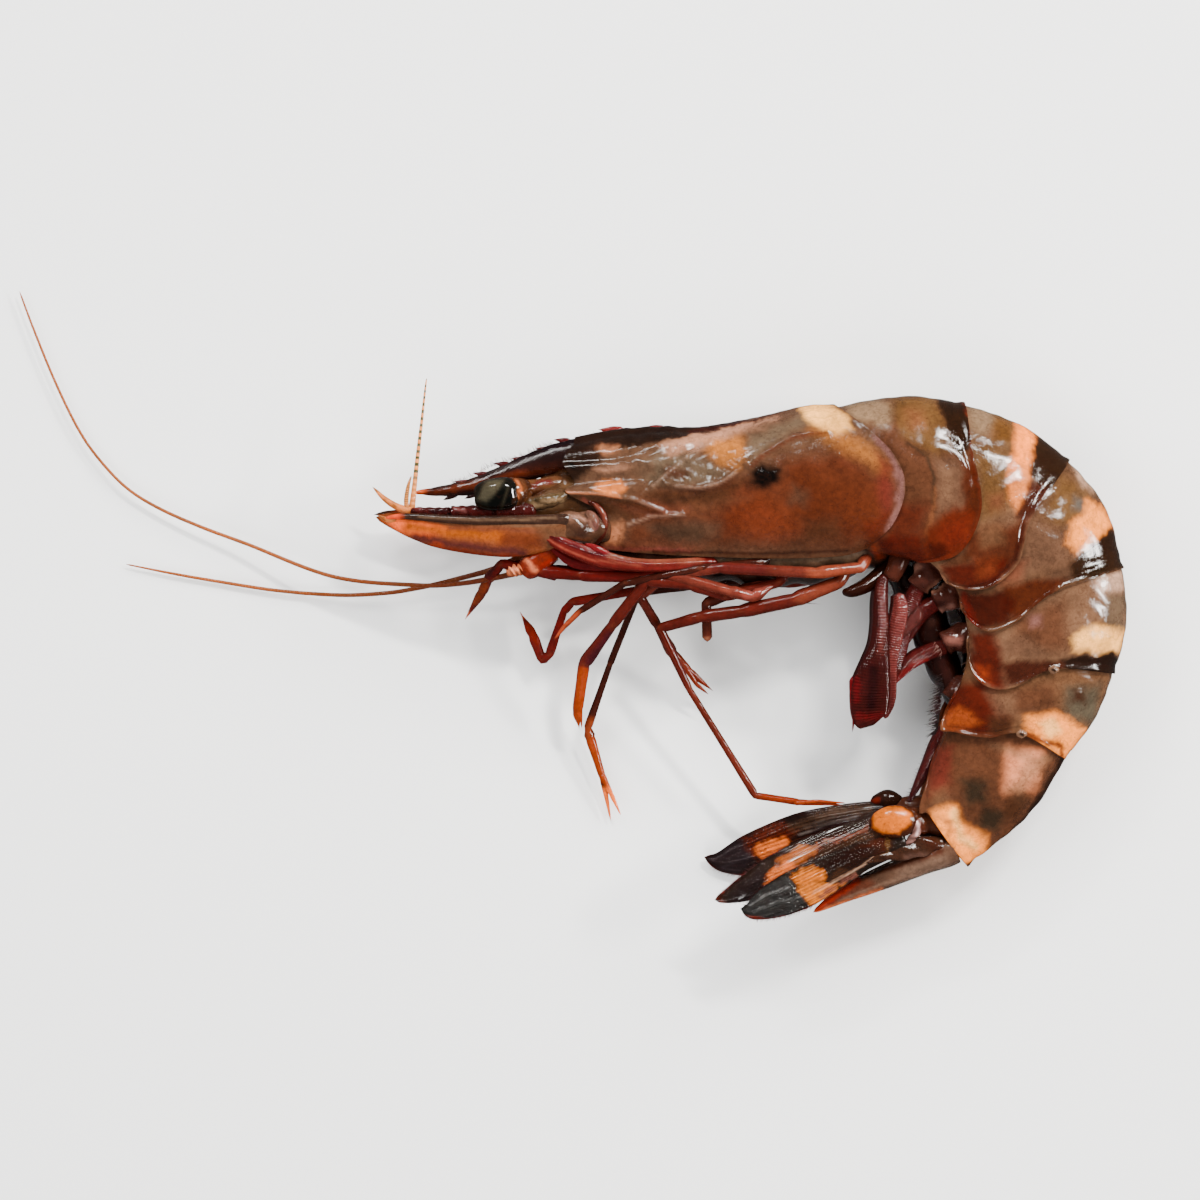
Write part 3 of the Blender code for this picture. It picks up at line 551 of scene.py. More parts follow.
RING_PAINT = [
    # Ring 1: the grey-white front is translucent shell with painted sheen.
    [(MIST_AND_PAINTED_SHEEN, 0.9, 7, 0, [(838, 396), (880, 396), (893, 412), (884, 430), (850, 424)]),
     (OLIVE, 0.9, 8, 0, [(888, 396), (936, 396), (948, 450), (930, 458), (900, 440)]),
     (GINGER, 0.6, 8, 0, [(904, 412), (920, 412), (924, 430), (908, 432)]),
     (TAN, 0.9, 7, 0, [(928, 456), (962, 458), (966, 510), (935, 515)]),
     (FAWN, 0.7, 6, 0, [(936, 470), (950, 470), (948, 500), (938, 502)]),
     (MAHOGANY, 0.85, 5, 0, [(958, 462), (974, 466), (978, 500), (972, 528), (960, 510)]),
     (UMBER, 0.95, 6, 0, [(870, 426), (904, 442), (926, 460), (932, 482), (930, 506), (922, 532),
                                      (890, 550), (868, 548), (880, 500)]),
     (CARMINE, 0.7, 10, 0, [(888, 500), (924, 506), (918, 534), (884, 546)]),
     (BRICK, 0.95, 7, 0, [(920, 532), (952, 508), (976, 512), (972, 548), (940, 566), (916, 562)]),
     (RED_BROWN, 0.7, 9, 0, [(938, 532), (962, 520), (962, 542), (944, 550)]),
     (CARMINE, 0.9, 6, 0, [(872, 536), (916, 536), (926, 566), (884, 564)]),
     (WINE, 0.8, 4, 0, [(926, 544), (942, 546), (940, 556), (928, 556)]),
     (GLOW, 0.9, 4, 3, [(872, 546), (878, 556)]),
     (SLATE, 0.75, 2.2, 1.5, [(903, 444), (925, 458), (931, 480), (929, 504)]),
     (GINGER, 0.4, 2.5, 1.6, [(932, 488), (930, 506), (923, 533)]),
     (BAR_BROWN, 0.98, 3.5, 0, [(933, 392), (962, 392), (967, 415), (969, 436), (965, 450), (957, 460),
                                (950, 450), (943, 428)]),
     (BRICK, 0.75, 2, 1.5, [(961, 402), (968, 420), (969, 440), (969, 470), (977, 496), (976, 522),
                                       (963, 546), (930, 563)])],
    # Ring 2: the grey-white at the upper edge is painted reflection.
    [(MIST_AND_PAINTED_SHEEN, 0.9, 7, 0, [(966, 398), (990, 400), (996, 424), (978, 436), (968, 430)]),
     (BRONZE, 0.85, 7, 0, [(992, 410), (1014, 422), (1010, 446), (990, 446)]),
     (OLIVE, 0.9, 10, 0, [(972, 444), (1008, 448), (1010, 500), (990, 530), (976, 520)]),
     (COPPER, 0.6, 7, 0, [(984, 496), (998, 492), (1000, 510), (986, 512)]),
     (APRICOT, 0.92, 5.5, 0, [(1016, 420), (1038, 430), (1032, 452), (1028, 470), (1008, 470), (1012, 448)]),
     (AMBER, 0.92, 5, 0, [(1006, 464), (1028, 468), (1023, 498), (1014, 512), (1004, 498)]),
     (BAR_BROWN, 0.98, 4, 0, [(1037, 428), (1064, 444), (1074, 456), (1062, 476), (1050, 491), (1034, 486),
                              (1027, 475), (1031, 452)]),
     (WINE, 0.9, 5, 0, [(1026, 482), (1048, 488), (1034, 512), (1018, 528), (1012, 516)]),
     (TAN, 0.7, 6, 0, [(980, 516), (1010, 512), (1000, 528), (982, 532)]),
     (MAHOGANY, 0.9, 7, 0, [(960, 530), (1000, 526), (1024, 522), (1018, 552), (1004, 574), (960, 560)]),
     (HAZEL, 0.75, 7, 0, [(974, 528), (1000, 526), (1000, 544), (978, 548)]),
     (DARK_BISTRE, 0.8, 5, 0, [(938, 552), (968, 552), (966, 568), (940, 566)]),
     (CARMINE, 0.95, 5, 0, [(938, 566), (966, 564), (1004, 558), (996, 584), (966, 592), (944, 584)]),
     (RUST, 0.9, 6, 0, [(970, 562), (992, 560), (994, 574), (974, 580)]),
     (WINE, 0.85, 3, 2.5, [(1020, 530), (1010, 562), (986, 585), (962, 590)])],
    # Ring 3: whitish patch at the upper edge, painted sheen.
    [(PAINTED_EDGE_SHEEN, 0.85, 6, 0, [(1070, 460), (1088, 474), (1094, 492), (1078, 490)]),
     (OLIVE, 0.9, 10, 0, [(1056, 474), (1086, 490), (1090, 510), (1060, 530), (1040, 520)]),
     (PEWTER, 0.85, 6, 0, [(1072, 496), (1084, 500), (1082, 512), (1070, 510)]),
     (TAN, 0.85, 12, 0, [(1026, 520), (1066, 524), (1064, 566), (1020, 576), (1012, 560)]),
     (PEACH, 0.96, 5.5, 0, [(1086, 500), (1104, 508), (1114, 528), (1094, 541), (1073, 553), (1064, 544),
                                        (1066, 524), (1082, 514)]),
     (BAR_BROWN, 0.98, 4, 0, [(1112, 526), (1124, 542), (1128, 566), (1107, 573), (1085, 579), (1064, 580),
                              (1062, 566), (1083, 551)]),
     (DRAB, 0.8, 4, 0, [(1044, 572), (1066, 566), (1070, 580), (1048, 590)]),
     (MAHOGANY, 0.9, 5, 0, [(1000, 586), (1030, 580), (1062, 580), (1052, 594), (1012, 622), (1000, 610)]),
     (WINE, 0.95, 6, 0, [(960, 594), (1000, 590), (1012, 600), (1006, 624), (978, 632), (960, 618)]),
     (SCARLET, 0.8, 4, 3, [(961, 596), (964, 610), (972, 622)]),
     (COPPER, 0.7, 6, 0, [(1000, 566), (1024, 560), (1016, 580), (996, 586)])],
    # Ring 4: whitish patch at the upper edge, painted sheen.
    [(PAINTED_EDGE_SHEEN, 0.85, 6, 0, [(1092, 576), (1124, 570), (1126, 590), (1096, 594)]),
     (SMOKE, 0.8, 5, 0, [(1104, 594), (1124, 594), (1122, 632), (1104, 632)]),
     (FAWN, 0.8, 10, 0, [(1060, 596), (1096, 592), (1094, 624), (1064, 630)]),
     (UMBER, 0.9, 10, 0, [(1010, 618), (1060, 600), (1066, 650), (1010, 650)]),
     (LILAC, 0.6, 5, 0, [(1028, 616), (1038, 614), (1036, 626), (1028, 626)]),
     (TAN, 0.85, 7, 0, [(986, 640), (1020, 634), (1042, 652), (1036, 660), (990, 652)]),
     (CREAM, 0.96, 5.5, 0, [(1079, 628), (1093, 625), (1124, 631), (1120, 652), (1093, 653), (1070, 649),
                                        (1069, 640)]),
     (KEEL_BLACK, 0.98, 3.5, 0, [(1071, 654), (1112, 653), (1122, 662), (1114, 680), (1079, 677), (1058, 671),
                                     (1057, 661)]),
     (WINE, 0.9, 4, 0, [(1000, 662), (1058, 660), (1060, 670), (1036, 678), (1002, 686)]),
     (CARMINE, 0.95, 6, 0, [(968, 632), (990, 630), (1000, 660), (1000, 690), (974, 684), (966, 660)]),
     (GLOW, 0.85, 6, 0, [(974, 666), (986, 666), (988, 682), (976, 680)]),
     (RUST, 0.9, 1.5, 1.2, [(1110, 679), (1078, 676), (1052, 671)])],
    [(MOSS, 0.95, 8, 0, [(1062, 688), (1098, 684), (1096, 724), (1064, 716)]),
     (DARK_BISTRE, 0.85, 6, 0, [(1070, 690), (1082, 690), (1082, 702), (1070, 702)]),
     (UMBER, 0.9, 9, 0, [(996, 690), (1050, 682), (1056, 708), (1010, 716)]),
     (PEACH, 0.96, 5.5, 0, [(1023, 715), (1052, 710), (1084, 730), (1064, 762), (1043, 748), (1023, 733)]),
     (PALE_CREAM, 0.6, 5, 0, [(1034, 722), (1050, 718), (1060, 732), (1046, 738)]),
     (BRICK, 0.9, 3, 3, [(1022, 733), (1042, 740), (1058, 748), (1062, 758)]),
     (CARMINE, 0.95, 8, 0, [(940, 684), (990, 678), (1008, 716), (1006, 742), (940, 730)]),
     (FAWN, 0.75, 8, 0, [(984, 690), (1010, 694), (1014, 716), (996, 716)]),
     (BISTRE, 0.85, 6, 0, [(986, 714), (1010, 718), (1008, 738), (984, 734)]),
     (COPPER_GLOW, 0.95, 5, 0, [(945, 711), (959, 705), (978, 722), (961, 730), (940, 726)])],
    [(PALE_PEACH, 0.75, 10, 0, [(1004, 750), (1040, 752), (1030, 790), (1004, 790)]),
     # Ring 6: the grey patch is painted sheen over the shell.
     (MIST_AND_PAINTED_SHEEN, 0.6, 8, 0, [(990, 744), (1046, 756), (1020, 800), (1006, 790), (1020, 762)]),
     (ROSE, 0.8, 8, 0, [(928, 748), (952, 744), (946, 790), (926, 796)]),
     (UMBER, 0.8, 8, 0, [(956, 746), (1000, 742), (990, 780), (954, 776)]),
     (HAZEL, 0.7, 7, 0, [(928, 790), (946, 786), (948, 812), (930, 814)]),
     (SLATE, 0.95, 7, 0, [(958, 778), (984, 780), (986, 800), (966, 804)]),
     (SLATE, 0.95, 7, 0, [(982, 806), (1004, 812), (996, 832), (978, 828)]),
     (BISTRE, 0.8, 5, 0, [(1010, 790), (1030, 794), (1012, 822), (1000, 812)]),
     (PEACH, 0.92, 7, 0, [(932, 812), (944, 806), (954, 804), (957, 818), (968, 826), (985, 836), (985, 852),
                                        (974, 862), (961, 864), (952, 846), (938, 836), (931, 822)]),
     (GINGER, 0.55, 3, 2.5, [(936, 816), (948, 822), (946, 834)]),
     (PALE_CREAM, 0.6, 4, 3, [(952, 812), (958, 836), (974, 846)]),
     (KEEL_BLACK, 0.95, 3.5, 5, [(1064, 762), (1036, 806), (1006, 844), (966, 872)])],
]
BARK = tone(112, 80, 58)
RING_GROUNDS = [UMBER, FAWN, BARK, FAWN, HAZEL,
                UMBER]
SIX_DOWN = np.linspace(0, 1, 6)
edges_before = (HEAD_FRONT, HEAD_REAR, HEAD_CREST, HEAD_LOWER)
for number, shapes in enumerate(RING_PAINT):
    before = along(RING_REARS[number], SIX_DOWN)
    rear = np.array(RING_REARS[number + 1])
    tucked = 1 - TUCK_DEPTH / np.linalg.norm(along(edges_before[0], 0.5) - along(edges_before[1], 0.5))
    inward = before.mean(axis=0) - before
    inward /= np.linalg.norm(inward, axis=1)[:, None]
    front = stretched(*edges_before, np.full(6, tucked), SIX_DOWN) + inward * TUCK_INSET
    crest = [front[0], before[0] + inward[0] * TUCK_INSET * 0.6, RING_CRESTS[number], rear[0]]
    lower = [front[-1], rear[-1]]
    first_width = RING_WIDTHS[number] - TUCK_INSET
    last_width = RING_WIDTHS[number + 1]
    edges_before = (front, rear, crest, lower)

    def ring_relief(x, y, u, v):
        """Swell of the hoop, the thin raised rear rim, the soft dents and the side-plate rim."""
        raised = 0.35 * np.sin(pi * u) + 0.17 * np.clip((u - 0.955) / 0.03, 0, 1)
        raised -= 0.10 * np.exp(-((u - 0.93) / 0.02) ** 2)
        raised += 0.12 * np.exp(-((1 - v) / 0.03) ** 2)
        raised += 0.10 * np.sin(x * 0.9 + 2 * np.sin(y * 0.5)) * np.sin(y * 1.1 + 1.3 * np.sin(x * 0.6))
        if number == 5:
            raised += 0.5 * np.exp(-(v / 0.012) ** 2)
        return raised

    hoop = plate("tail_ring_" + str(number + 1), 110, 150,
                 lambda u, v: stretched(front, rear, crest, lower, u, v),
                 lambda u: first_width + (last_width - first_width) * u,
                 ring_relief, 0.35, shell_look("tail ring " + str(number + 1), 1.0, 0.24))
    paint(hoop, RING_GROUNDS[number], shapes)

# The meat and skin under the hoops and between the side plates: one soft, wet, greyish body
# that fills the shells from the breast to the last ring.
def limb(name, stations, look, segments=16, rings=24, roll=0.0, swell=None):
    """Closed tapering form from a ball: stations of x, y, height, half breadth, half thickness.

    The ball's latitude becomes the way along and its longitude the way around; roll, in degrees,
    turns the breadth out of the level; swell adds millimetres from shares along and the angle.
    """
    bpy.ops.object.select_all(action="DESELECT")
    bpy.ops.mesh.primitive_uv_sphere_add(segments=segments, ring_count=rings, radius=1)
    piece = bpy.context.object
    piece.name = name
    mesh = piece.data
    spots = np.empty(len(mesh.vertices) * 3)
    mesh.vertices.foreach_get("co", spots)
    spots = spots.reshape(-1, 3)
    share = 1 - np.arccos(np.clip(spots[:, 2], -1, 1)) / pi
    turn = np.arctan2(spots[:, 1], spots[:, 0])
    end_round = np.clip(np.hypot(spots[:, 0], spots[:, 1]), 0, None)
    end_round = np.where((share < 1e-4) | (share > 1 - 1e-4), 0.0, np.minimum(1.0, end_round * rings / 5.0))
    line = along(stations, share)
    ahead = along(stations, np.clip(share + 0.01, 0, 1))
    behind = along(stations, np.clip(share - 0.01, 0, 1))
    heading = (ahead - behind)[:, :3]
    heading /= np.linalg.norm(heading, axis=1)[:, None]
    breadth = np.cross(heading, (0.0, 0.0, 1.0))
    breadth /= np.maximum(np.linalg.norm(breadth, axis=1), 1e-6)[:, None]
    height = np.cross(breadth, heading)
    c = cos(radians(roll))
    s = sin(radians(roll))
    breadth, height = breadth * c + height * s, height * c - breadth * s
    wide = np.maximum(line[:, 3], 0.02) * end_round
    thick = np.maximum(line[:, 4], 0.02) * end_round
    if swell:
        extra = swell(share, turn) * end_round
        wide = wide + extra
        thick = thick + extra
    made = line[:, :3] + breadth * (np.cos(turn) * wide)[:, None] + height * (np.sin(turn) * thick)[:, None]
    mesh.vertices.foreach_set("co", (made * MM).ravel())
    mesh.update()
    bpy.ops.object.mode_set(mode="EDIT")
    bpy.ops.mesh.select_all(action="SELECT")
    bpy.ops.mesh.normals_make_consistent(inside=False)
    bpy.ops.object.mode_set(mode="OBJECT")
    bpy.ops.object.shade_smooth_by_angle(angle=radians(60))
    mesh.materials.append(look)
    ride_on_prawn(piece)
    return piece


def opposite(stations, shift=(0.0, 0.0)):
    """Stations of the same organ on the right side, with a small shift in the side view."""
    return [(x + shift[0], y + shift[1], 2 * MID - z, wide, thick) for x, y, z, wide, thick in stations]


def both_sides(name, stations, look, shift=(0.0, 0.0), roll=0.0, **settings):
    """The same organ left and right."""
    limb("left_" + name, stations, look, roll=roll, **settings)
    limb("right_" + name, opposite(stations, shift), look, roll=-roll, **settings)


def seen(*rows):
    """Stations from photo places: column, row, height in mm, half breadth in pixels, half thickness in mm."""
    return [from_photo(column, row) + (height, wide * PHOTO_SCALE,
                                       thick) for column, row, height, wide, thick in rows]


skin = shell_look("wet skin", 0.7, 0.3)


def dress(name, stations, ground, shapes=(), look=skin, segments=20, rings=30, roll=0.0, swell=None,
          wander=0.7):
    """A limb with its painted colours: pigment, and in places painted highlight and sheen."""
    paint(limb(name, stations, look, segments, rings, roll, swell), ground, shapes, wander)


def dress_pair(name, stations, ground, shapes=(), shift=(0.0, 0.0), roll=0.0, **settings):
    """The same organ left and right, with its painted colours: pigment, and in places painted highlight and
    sheen.
    """
    dress("left_" + name, stations, ground, shapes, roll=roll, **settings)
    dress("right_" + name, opposite(stations, shift), ground, shapes, roll=-roll, **settings)


dress("meat", [(2.0, 16.5, MID, 4.6, 3.0), (12.0, 17.5, MID, 7.0, 5.4), (26.0, 18.0, MID, 8.4, 7.6),
               (42.0, 19.0, MID, 9.0, 8.6), (56.0, 19.0, MID, 9.4, 9.0), (66.0, 14.4, MID, 9.4, 9.0),
               (72.4, 6.0, MID, 8.8, 8.2), (75.2, -3.0, MID, 8.2, 7.2), (75.0, -12.0, MID, 7.0, 6.0),
               (70.6, -21.4, MID, 5.6, 4.4), (65.2, -30.4, MID, 4.4, 3.2), (60.6, -37.0, MID, 2.8, 2.2)],
      tone(66, 36, 26), [(tone(110, 70, 54), 0.8, 8, 8, [(930, 600), (955, 650), (960, 690)])],
      segments=32, rings=80)
# The pale olive-grey strip along the top is the gill edge's colour with painted highlight in it.
BREAST_PAINT = [(tone(128, 106, 84), 0.85, 4, 5, [(600, 572), (660, 566), (760, 560), (860, 556)]),
                (tone(140, 116, 100), 0.8, 2.5, 2.5, [(846, 553), (860, 553)]),
                (tone(150, 58, 32), 0.9, 2, 3, [(872, 550), (878, 557)]),
                (tone(130, 122, 90), 0.7, 2, 2, [(700, 562), (712, 566)]),
                (tone(120, 110, 80), 0.7, 2, 2, [(740, 566), (752, 570)])]
dress("breast", [(2.0, 11.0, MID, 2.2, 2.2), (10.0, 9.0, MID, 3.4, 3.8), (24.0, 7.7, MID, 4.3, 5.4),
                 (38.0, 7.5, MID, 4.6, 6.2), (50.0, 9.6, MID, 3.5, 6.0), (58.0, 12.0, MID, 3.0, 5.0)],
      tone(74, 46, 36), BREAST_PAINT, segments=28, rings=70,
      swell=lambda share, turn: 0.3 * np.sin(share * 70))

# The spike between the eyes: a thin, dark, saw-edged blade of shell with a raised keel behind
# it, grown on the head shell, with short red bristles between its teeth.
SPIKE = [(-25.2, 17.6, 0.1, 0.15), (-23.6, 17.65, 0.4, 0.35), (-20.6, 17.8, 0.8, 0.5),
         (-15.8, 18.45, 1.3, 0.7), (-11.0, 19.9, 1.75, 0.9), (-6.2, 21.7, 2.1, 1.1), (-1.4, 23.0, 2.6, 1.4),
         (5.0, 23.9, 3.1, 1.9), (11.4, 25.1, 2.7, 2.0), (21.0, 26.6, 1.5, 1.4), (31.0, 28.6, 1.2, 1.2),
         (38.0, 30.4, 0.6, 0.8)]
dress("spike", [(x, y, MID, high, thick) for x, y, high, thick in SPIKE], tone(48, 30, 28), [
    (tone(206, 112, 56), 0.95, 6, 5, [(408, 492), (420, 492)]),
    (tone(108, 48, 28), 0.9, 3, 3.5, [(428, 494), (470, 486), (510, 476), (560, 468)]),
    (tone(70, 34, 26), 0.8, 4, 4, [(530, 470), (575, 464), (600, 462)]),
    # Painted highlight: a thin grey streak along the top of the blade.
    (tone(84, 76, 74), 0.6, 2.0, 1.0, [(440, 487), (470, 478), (500, 468), (545, 455)]),
    (tone(222, 168, 112), 0.9, 3, 3.0, [(580, 452), (612, 446)]),
    (tone(28, 18, 22), 0.9, 2, 3, [(500, 463), (540, 449), (580, 440), (640, 433), (700, 428)])],
    segments=24, rings=110, swell=lambda share, turn: 0.22 * np.abs(np.sin(turn)) ** 6 * np.clip(1 - share,
        0, 1) + 0.03 * np.sin(share * 150 + 3 * turn))
UPPER_TIPS = [(-18.4, 19.4), (-15.4, 20.7), (-12.1, 22.3), (-9.3, 23.1), (-5.4, 24.7), (-2.4, 26.1),
              (4.7, 27.7), (11.3, 27.9)]
LOWER_TIPS = [(-20.1, 16.4), (-16.7, 16.6)]
TOOTH_RED = tone(136, 46, 44)
for number, (x, y) in enumerate(UPPER_TIPS):
    size = 0.8 if number < 6 else 1.25
    dress("upper_tooth_" + str(number + 1),
          [(x, y, MID, 0.06, 0.06), (x + 0.9 * size, y - 0.1, MID, 0.3 * size, 0.2),
           (x + 2.0 * size, y - 0.2, MID, 0.6 * size, 0.35), (x + 3.6 * size, y - 0.2, MID, 0.5 * size, 0.4)],
          tone(92, 34, 34) if number < 6 else TOOTH_RED, segments=10, rings=12)
for number, (x, y) in enumerate(LOWER_TIPS):
    dress("lower_tooth_" + str(number + 1),
          [(x, y, MID, 0.06, 0.06), (x + 1.0, y + 0.4, MID, 0.35, 0.2), (x + 2.4, y + 1.0, MID, 0.5, 0.3)],
          tone(52, 32, 30), segments=10, rings=12)


def bristles(name, roots, tips, radius, look):
    """Many stiff hairs joined in one piece: three-sided spikes from roots to tips in millimetres."""
    corners = []
    faces = []
    for root, tip in zip(np.asarray(roots, float), np.asarray(tips, float)):
        ahead = tip - root
        ahead /= np.linalg.norm(ahead)
        side = np.cross(ahead, (0.3, 0.2, 1.0))
        side /= np.linalg.norm(side)
        up = np.cross(ahead, side)
        first = len(corners)
        for step in range(3):
            angle = 2 * pi * step / 3
            corners.append(root + (side * cos(angle) + up * sin(angle)) * radius)
        corners.append(tip)
        faces += [(first, first + 2, first + 1), (first, first + 1, first + 3),
                  (first + 1, first + 2, first + 3), (first + 2, first, first + 3)]
    mesh = bpy.data.meshes.new(name)
    mesh.from_pydata([tuple(corner * MM) for corner in corners], [], faces)
    piece = bpy.data.objects.new(name, mesh)
    bpy.context.scene.collection.objects.link(piece)
    bpy.ops.object.select_all(action="DESELECT")
    bpy.context.view_layer.objects.active = piece
    piece.select_set(True)
    bpy.ops.object.mode_set(mode="EDIT")
    bpy.ops.mesh.select_all(action="SELECT")
    bpy.ops.mesh.normals_make_consistent(inside=False)
    bpy.ops.object.mode_set(mode="OBJECT")
    mesh.materials.append(look)
    ride_on_prawn(piece)
    return piece


def fringe(line, count, lengths, heading, radius, name, look, scatter=0.5):
    """Bristles along a line of x, y, height: they lean along a heading and vary in length."""
    shares = np.linspace(0, 1, count)
    roots = along(line, shares)[:, :3] + chance.uniform(-0.15, 0.15, (count, 3))
    ways = np.array(heading, float) + chance.uniform(-scatter, scatter, (count, 3))
    ways /= np.linalg.norm(ways, axis=1)[:, None]
    long = chance.uniform(lengths[0], lengths[1], count)[:, None]
    bristles(name, roots, roots + ways * long, radius, look)


bristle_look = Look("red bristle")
bristle_colour = bristle_look.mix(bristle_look.noise(400, 2).step(0.4, 0.6), tone(110, 22, 20),
                                  tone(60, 16, 14))
bristle_material = bristle_look.finish(bristle_colour, 0.45, 0.3, bristle_look.noise(600, 2), 0.02)
chance = np.random.default_rng(7)
fringe([(x, y - 0.5, MID) for x, y in UPPER_TIPS[:6]], 90, (0.5, 1.2), (-0.7, 1.0, 0.0), 0.06,
       "spike_bristles", bristle_material)
fringe([(2.0, 26.4, MID), (8.0, 27.2, MID), (11.0, 27.3, MID)], 26, (0.3, 0.8), (-0.7, 1.0, 0.0), 0.06,
       "keel_bristles", bristle_material)

# The eyes: glossy, dark, boxy domes, each in an orange-brown socket rim on a short olive
# stalk that swings out from under the spike, with soft olive lobes below it.
eye_skin = shell_look("glossy eye", 1.6, 0.05)
EYE_PAINT = [(tone(92, 84, 66), 0.85, 3, 0, [(478, 500), (488, 480), (505, 480), (499, 490), (487, 503)]),
             (tone(10, 12, 9), 0.95, 1.6, 0, [(488, 506), (500, 490), (515, 491), (512, 507), (496, 513)]),
             (tone(66, 60, 46), 0.7, 1.4, 0.8, [(509, 488), (502, 510)]),
             (tone(78, 44, 28), 0.9, 1.5, 1.2, [(512, 478), (521, 488), (514, 503)])]
dress_pair("eye", [(-14.3, 16.9, 15.4, 1.4, 1.6), (-13.7, 16.95, 15.6, 2.3, 2.5),
                   (-11.4, 17.2, 15.9, 2.75, 3.0), (-9.3, 17.4, 15.8, 2.6, 2.7),
                   (-8.5, 17.5, 15.6, 1.5, 1.6)], tone(26, 26, 20), EYE_PAINT, look=eye_skin, segments=40,
           rings=36, wander=0.3, swell=lambda share, turn: 0.34 * np.abs(np.sin(2 * turn)) ** 1.5 - 0.14)
SOCKET_PAINT = [(tone(206, 136, 80), 0.85, 1.6, 1.0, [(517, 481), (522, 489), (515, 502)]),
                (tone(62, 34, 24), 0.85, 2.5, 2.5, [(527, 481), (530, 492), (520, 503)])]
dress_pair("eye_socket", [(-9.4, 17.3, 15.4, 2.4, 2.3), (-8.4, 17.5, 15.2, 2.55, 2.5),
                          (-7.2, 17.9, 14.7, 2.0, 1.9), (-6.0, 18.2, 14.2, 1.3, 1.3)], tone(110, 66, 40),
           SOCKET_PAINT, segments=24, rings=20)
STALK_PAINT = [(tone(110, 30, 38), 0.9, 2, 1.8, [(523, 489), (540, 484), (551, 482)]),
               (tone(158, 132, 100), 0.85, 2.5, 3, [(528, 510), (545, 504), (562, 500)]),
               (tone(84, 70, 46), 0.85, 2, 1.5, [(530, 503), (548, 498), (564, 494)]),
               (tone(126, 92, 62), 0.7, 4, 4, [(566, 486), (580, 484)]),
               (tone(74, 36, 24), 0.8, 3, 3, [(520, 497), (540, 492)])]
dress_pair("eye_stalk", [(-7.8, 18.0, 14.8, 1.6, 1.5), (-5.0, 18.4, 13.8, 1.3, 1.2),
                         (-2.0, 18.7, 13.0, 1.6, 1.4), (1.5, 18.6, 12.2, 1.8, 1.4)], tone(104, 66, 42),
           STALK_PAINT, segments=20, rings=24)
dress_pair("stalk_lobe", [(-8.0, 15.6, 15.2, 0.7, 0.7), (-5.6, 15.8, 15.4, 1.2, 1.0),
                          (-2.4, 16.6, 15.2, 1.4, 1.1), (0.6, 17.2, 14.4, 0.9, 0.9)], tone(96, 70, 50),
           STALK_PAINT, segments=20, rings=24, swell=lambda share, turn: 0.1 * np.sin(share * 34))
dress_pair("upper_lobe", seen((534, 500, 16.0, 2, 0.6), (545, 500, 16.2, 5, 0.9), (558, 498, 15.8, 5, 0.9),
                              (570, 494, 15.0, 2, 0.6)), tone(104, 78, 56), STALK_PAINT, segments=16,
           rings=20, swell=lambda share, turn: 0.08 * np.sin(share * 40))
dress("face", [(-6.0, 16.8, MID, 2.2, 3.4), (-1.0, 17.2, MID, 4.0, 4.4), (4.0, 17.4, MID, 4.6, 4.4),
               (8.0, 17.6, MID, 4.2, 4.4)], tone(84, 54, 36), STALK_PAINT, segments=28, rings=30,
      swell=lambda share, turn: 0.15 * np.sin(share * 30 + turn))

# The two long scales beside the mouth: stiff leaves of shell with an olive-brown rib along the
# upper edge, a bright orange middle and a purple-red lower edge, on a knobbly base.
FLAME = tone(250, 132, 54)
OCHRE = tone(174, 94, 24)
PLUM = tone(94, 46, 44)
SCALE_PAINT = [
    (FLAME, 0.95, 5, 0, [(384, 519), (404, 514), (430, 521), (450, 530), (430, 538), (396, 530)]),
    (OCHRE, 0.9, 4, 5, [(410, 527), (450, 532), (500, 537)]),
    (RUST, 0.85, 6, 6, [(505, 541), (540, 542), (565, 538)]),
    (COPPER, 0.8, 2, 1.8, [(450, 527), (490, 530), (540, 532)]),
    (PLUM, 0.95, 4, 4, [(416, 537), (450, 544), (490, 550), (525, 553)]),
    (RED_BROWN, 0.9, 2, 2, [(430, 545), (460, 551), (490, 556), (520, 557)]),
    (GLOW, 0.9, 2, 2.5, [(434, 544), (442, 546)]),
    (BARK, 0.85, 9, 0, [(532, 522), (578, 522), (578, 552), (548, 550)]),
    (HAZEL, 0.95, 3, 6, [(406, 514), (460, 518), (520, 521), (556, 520)]),
    # Painted highlight: a pale line along the rib.
    (FAWN, 0.8, 1.5, 1.2, [(430, 521), (480, 525), (530, 527), (556, 524)])]
SCALE = [(1.0, 12.0, 16.4, 1.6, 1.4), (-1.5, 11.2, 17.0, 2.4, 1.2), (-7.6, 10.4, 17.2, 3.1, 0.9),
         (-13.0, 10.4, 17.0, 3.05, 0.8), (-20.9, 11.2, 16.2, 2.5, 0.65), (-26.0, 12.4, 15.4, 1.5, 0.5),
         (-29.2, 13.0, 14.8, 0.3, 0.25)]
dress_pair("scale", SCALE, tone(150, 84, 48), SCALE_PAINT, shift=(-1.8, 0.7), roll=12, segments=48, rings=80)
RIB = [(1.0, 13.0, 17.5, 1.2, 0.7), (-7.6, 13.1, 18.0, 0.8, 0.6), (-16.4, 13.1, 17.8, 0.7, 0.5),
       (-26.0, 13.7, 16.2, 0.5, 0.45), (-29.6, 13.4, 15.0, 0.12, 0.12)]
RIB_PAINT = [(tone(214, 96, 44), 0.95, 3, 5, [(382, 521), (398, 517)]),
             # Painted highlight: a pale line along the rib.
             (tone(140, 112, 88), 0.8, 1.2, 1.0, [(420, 517), (470, 520), (530, 520), (556, 518)]),
             (tone(36, 24, 22), 0.8, 1.5, 1.2, [(405, 514), (440, 517), (500, 518)])]
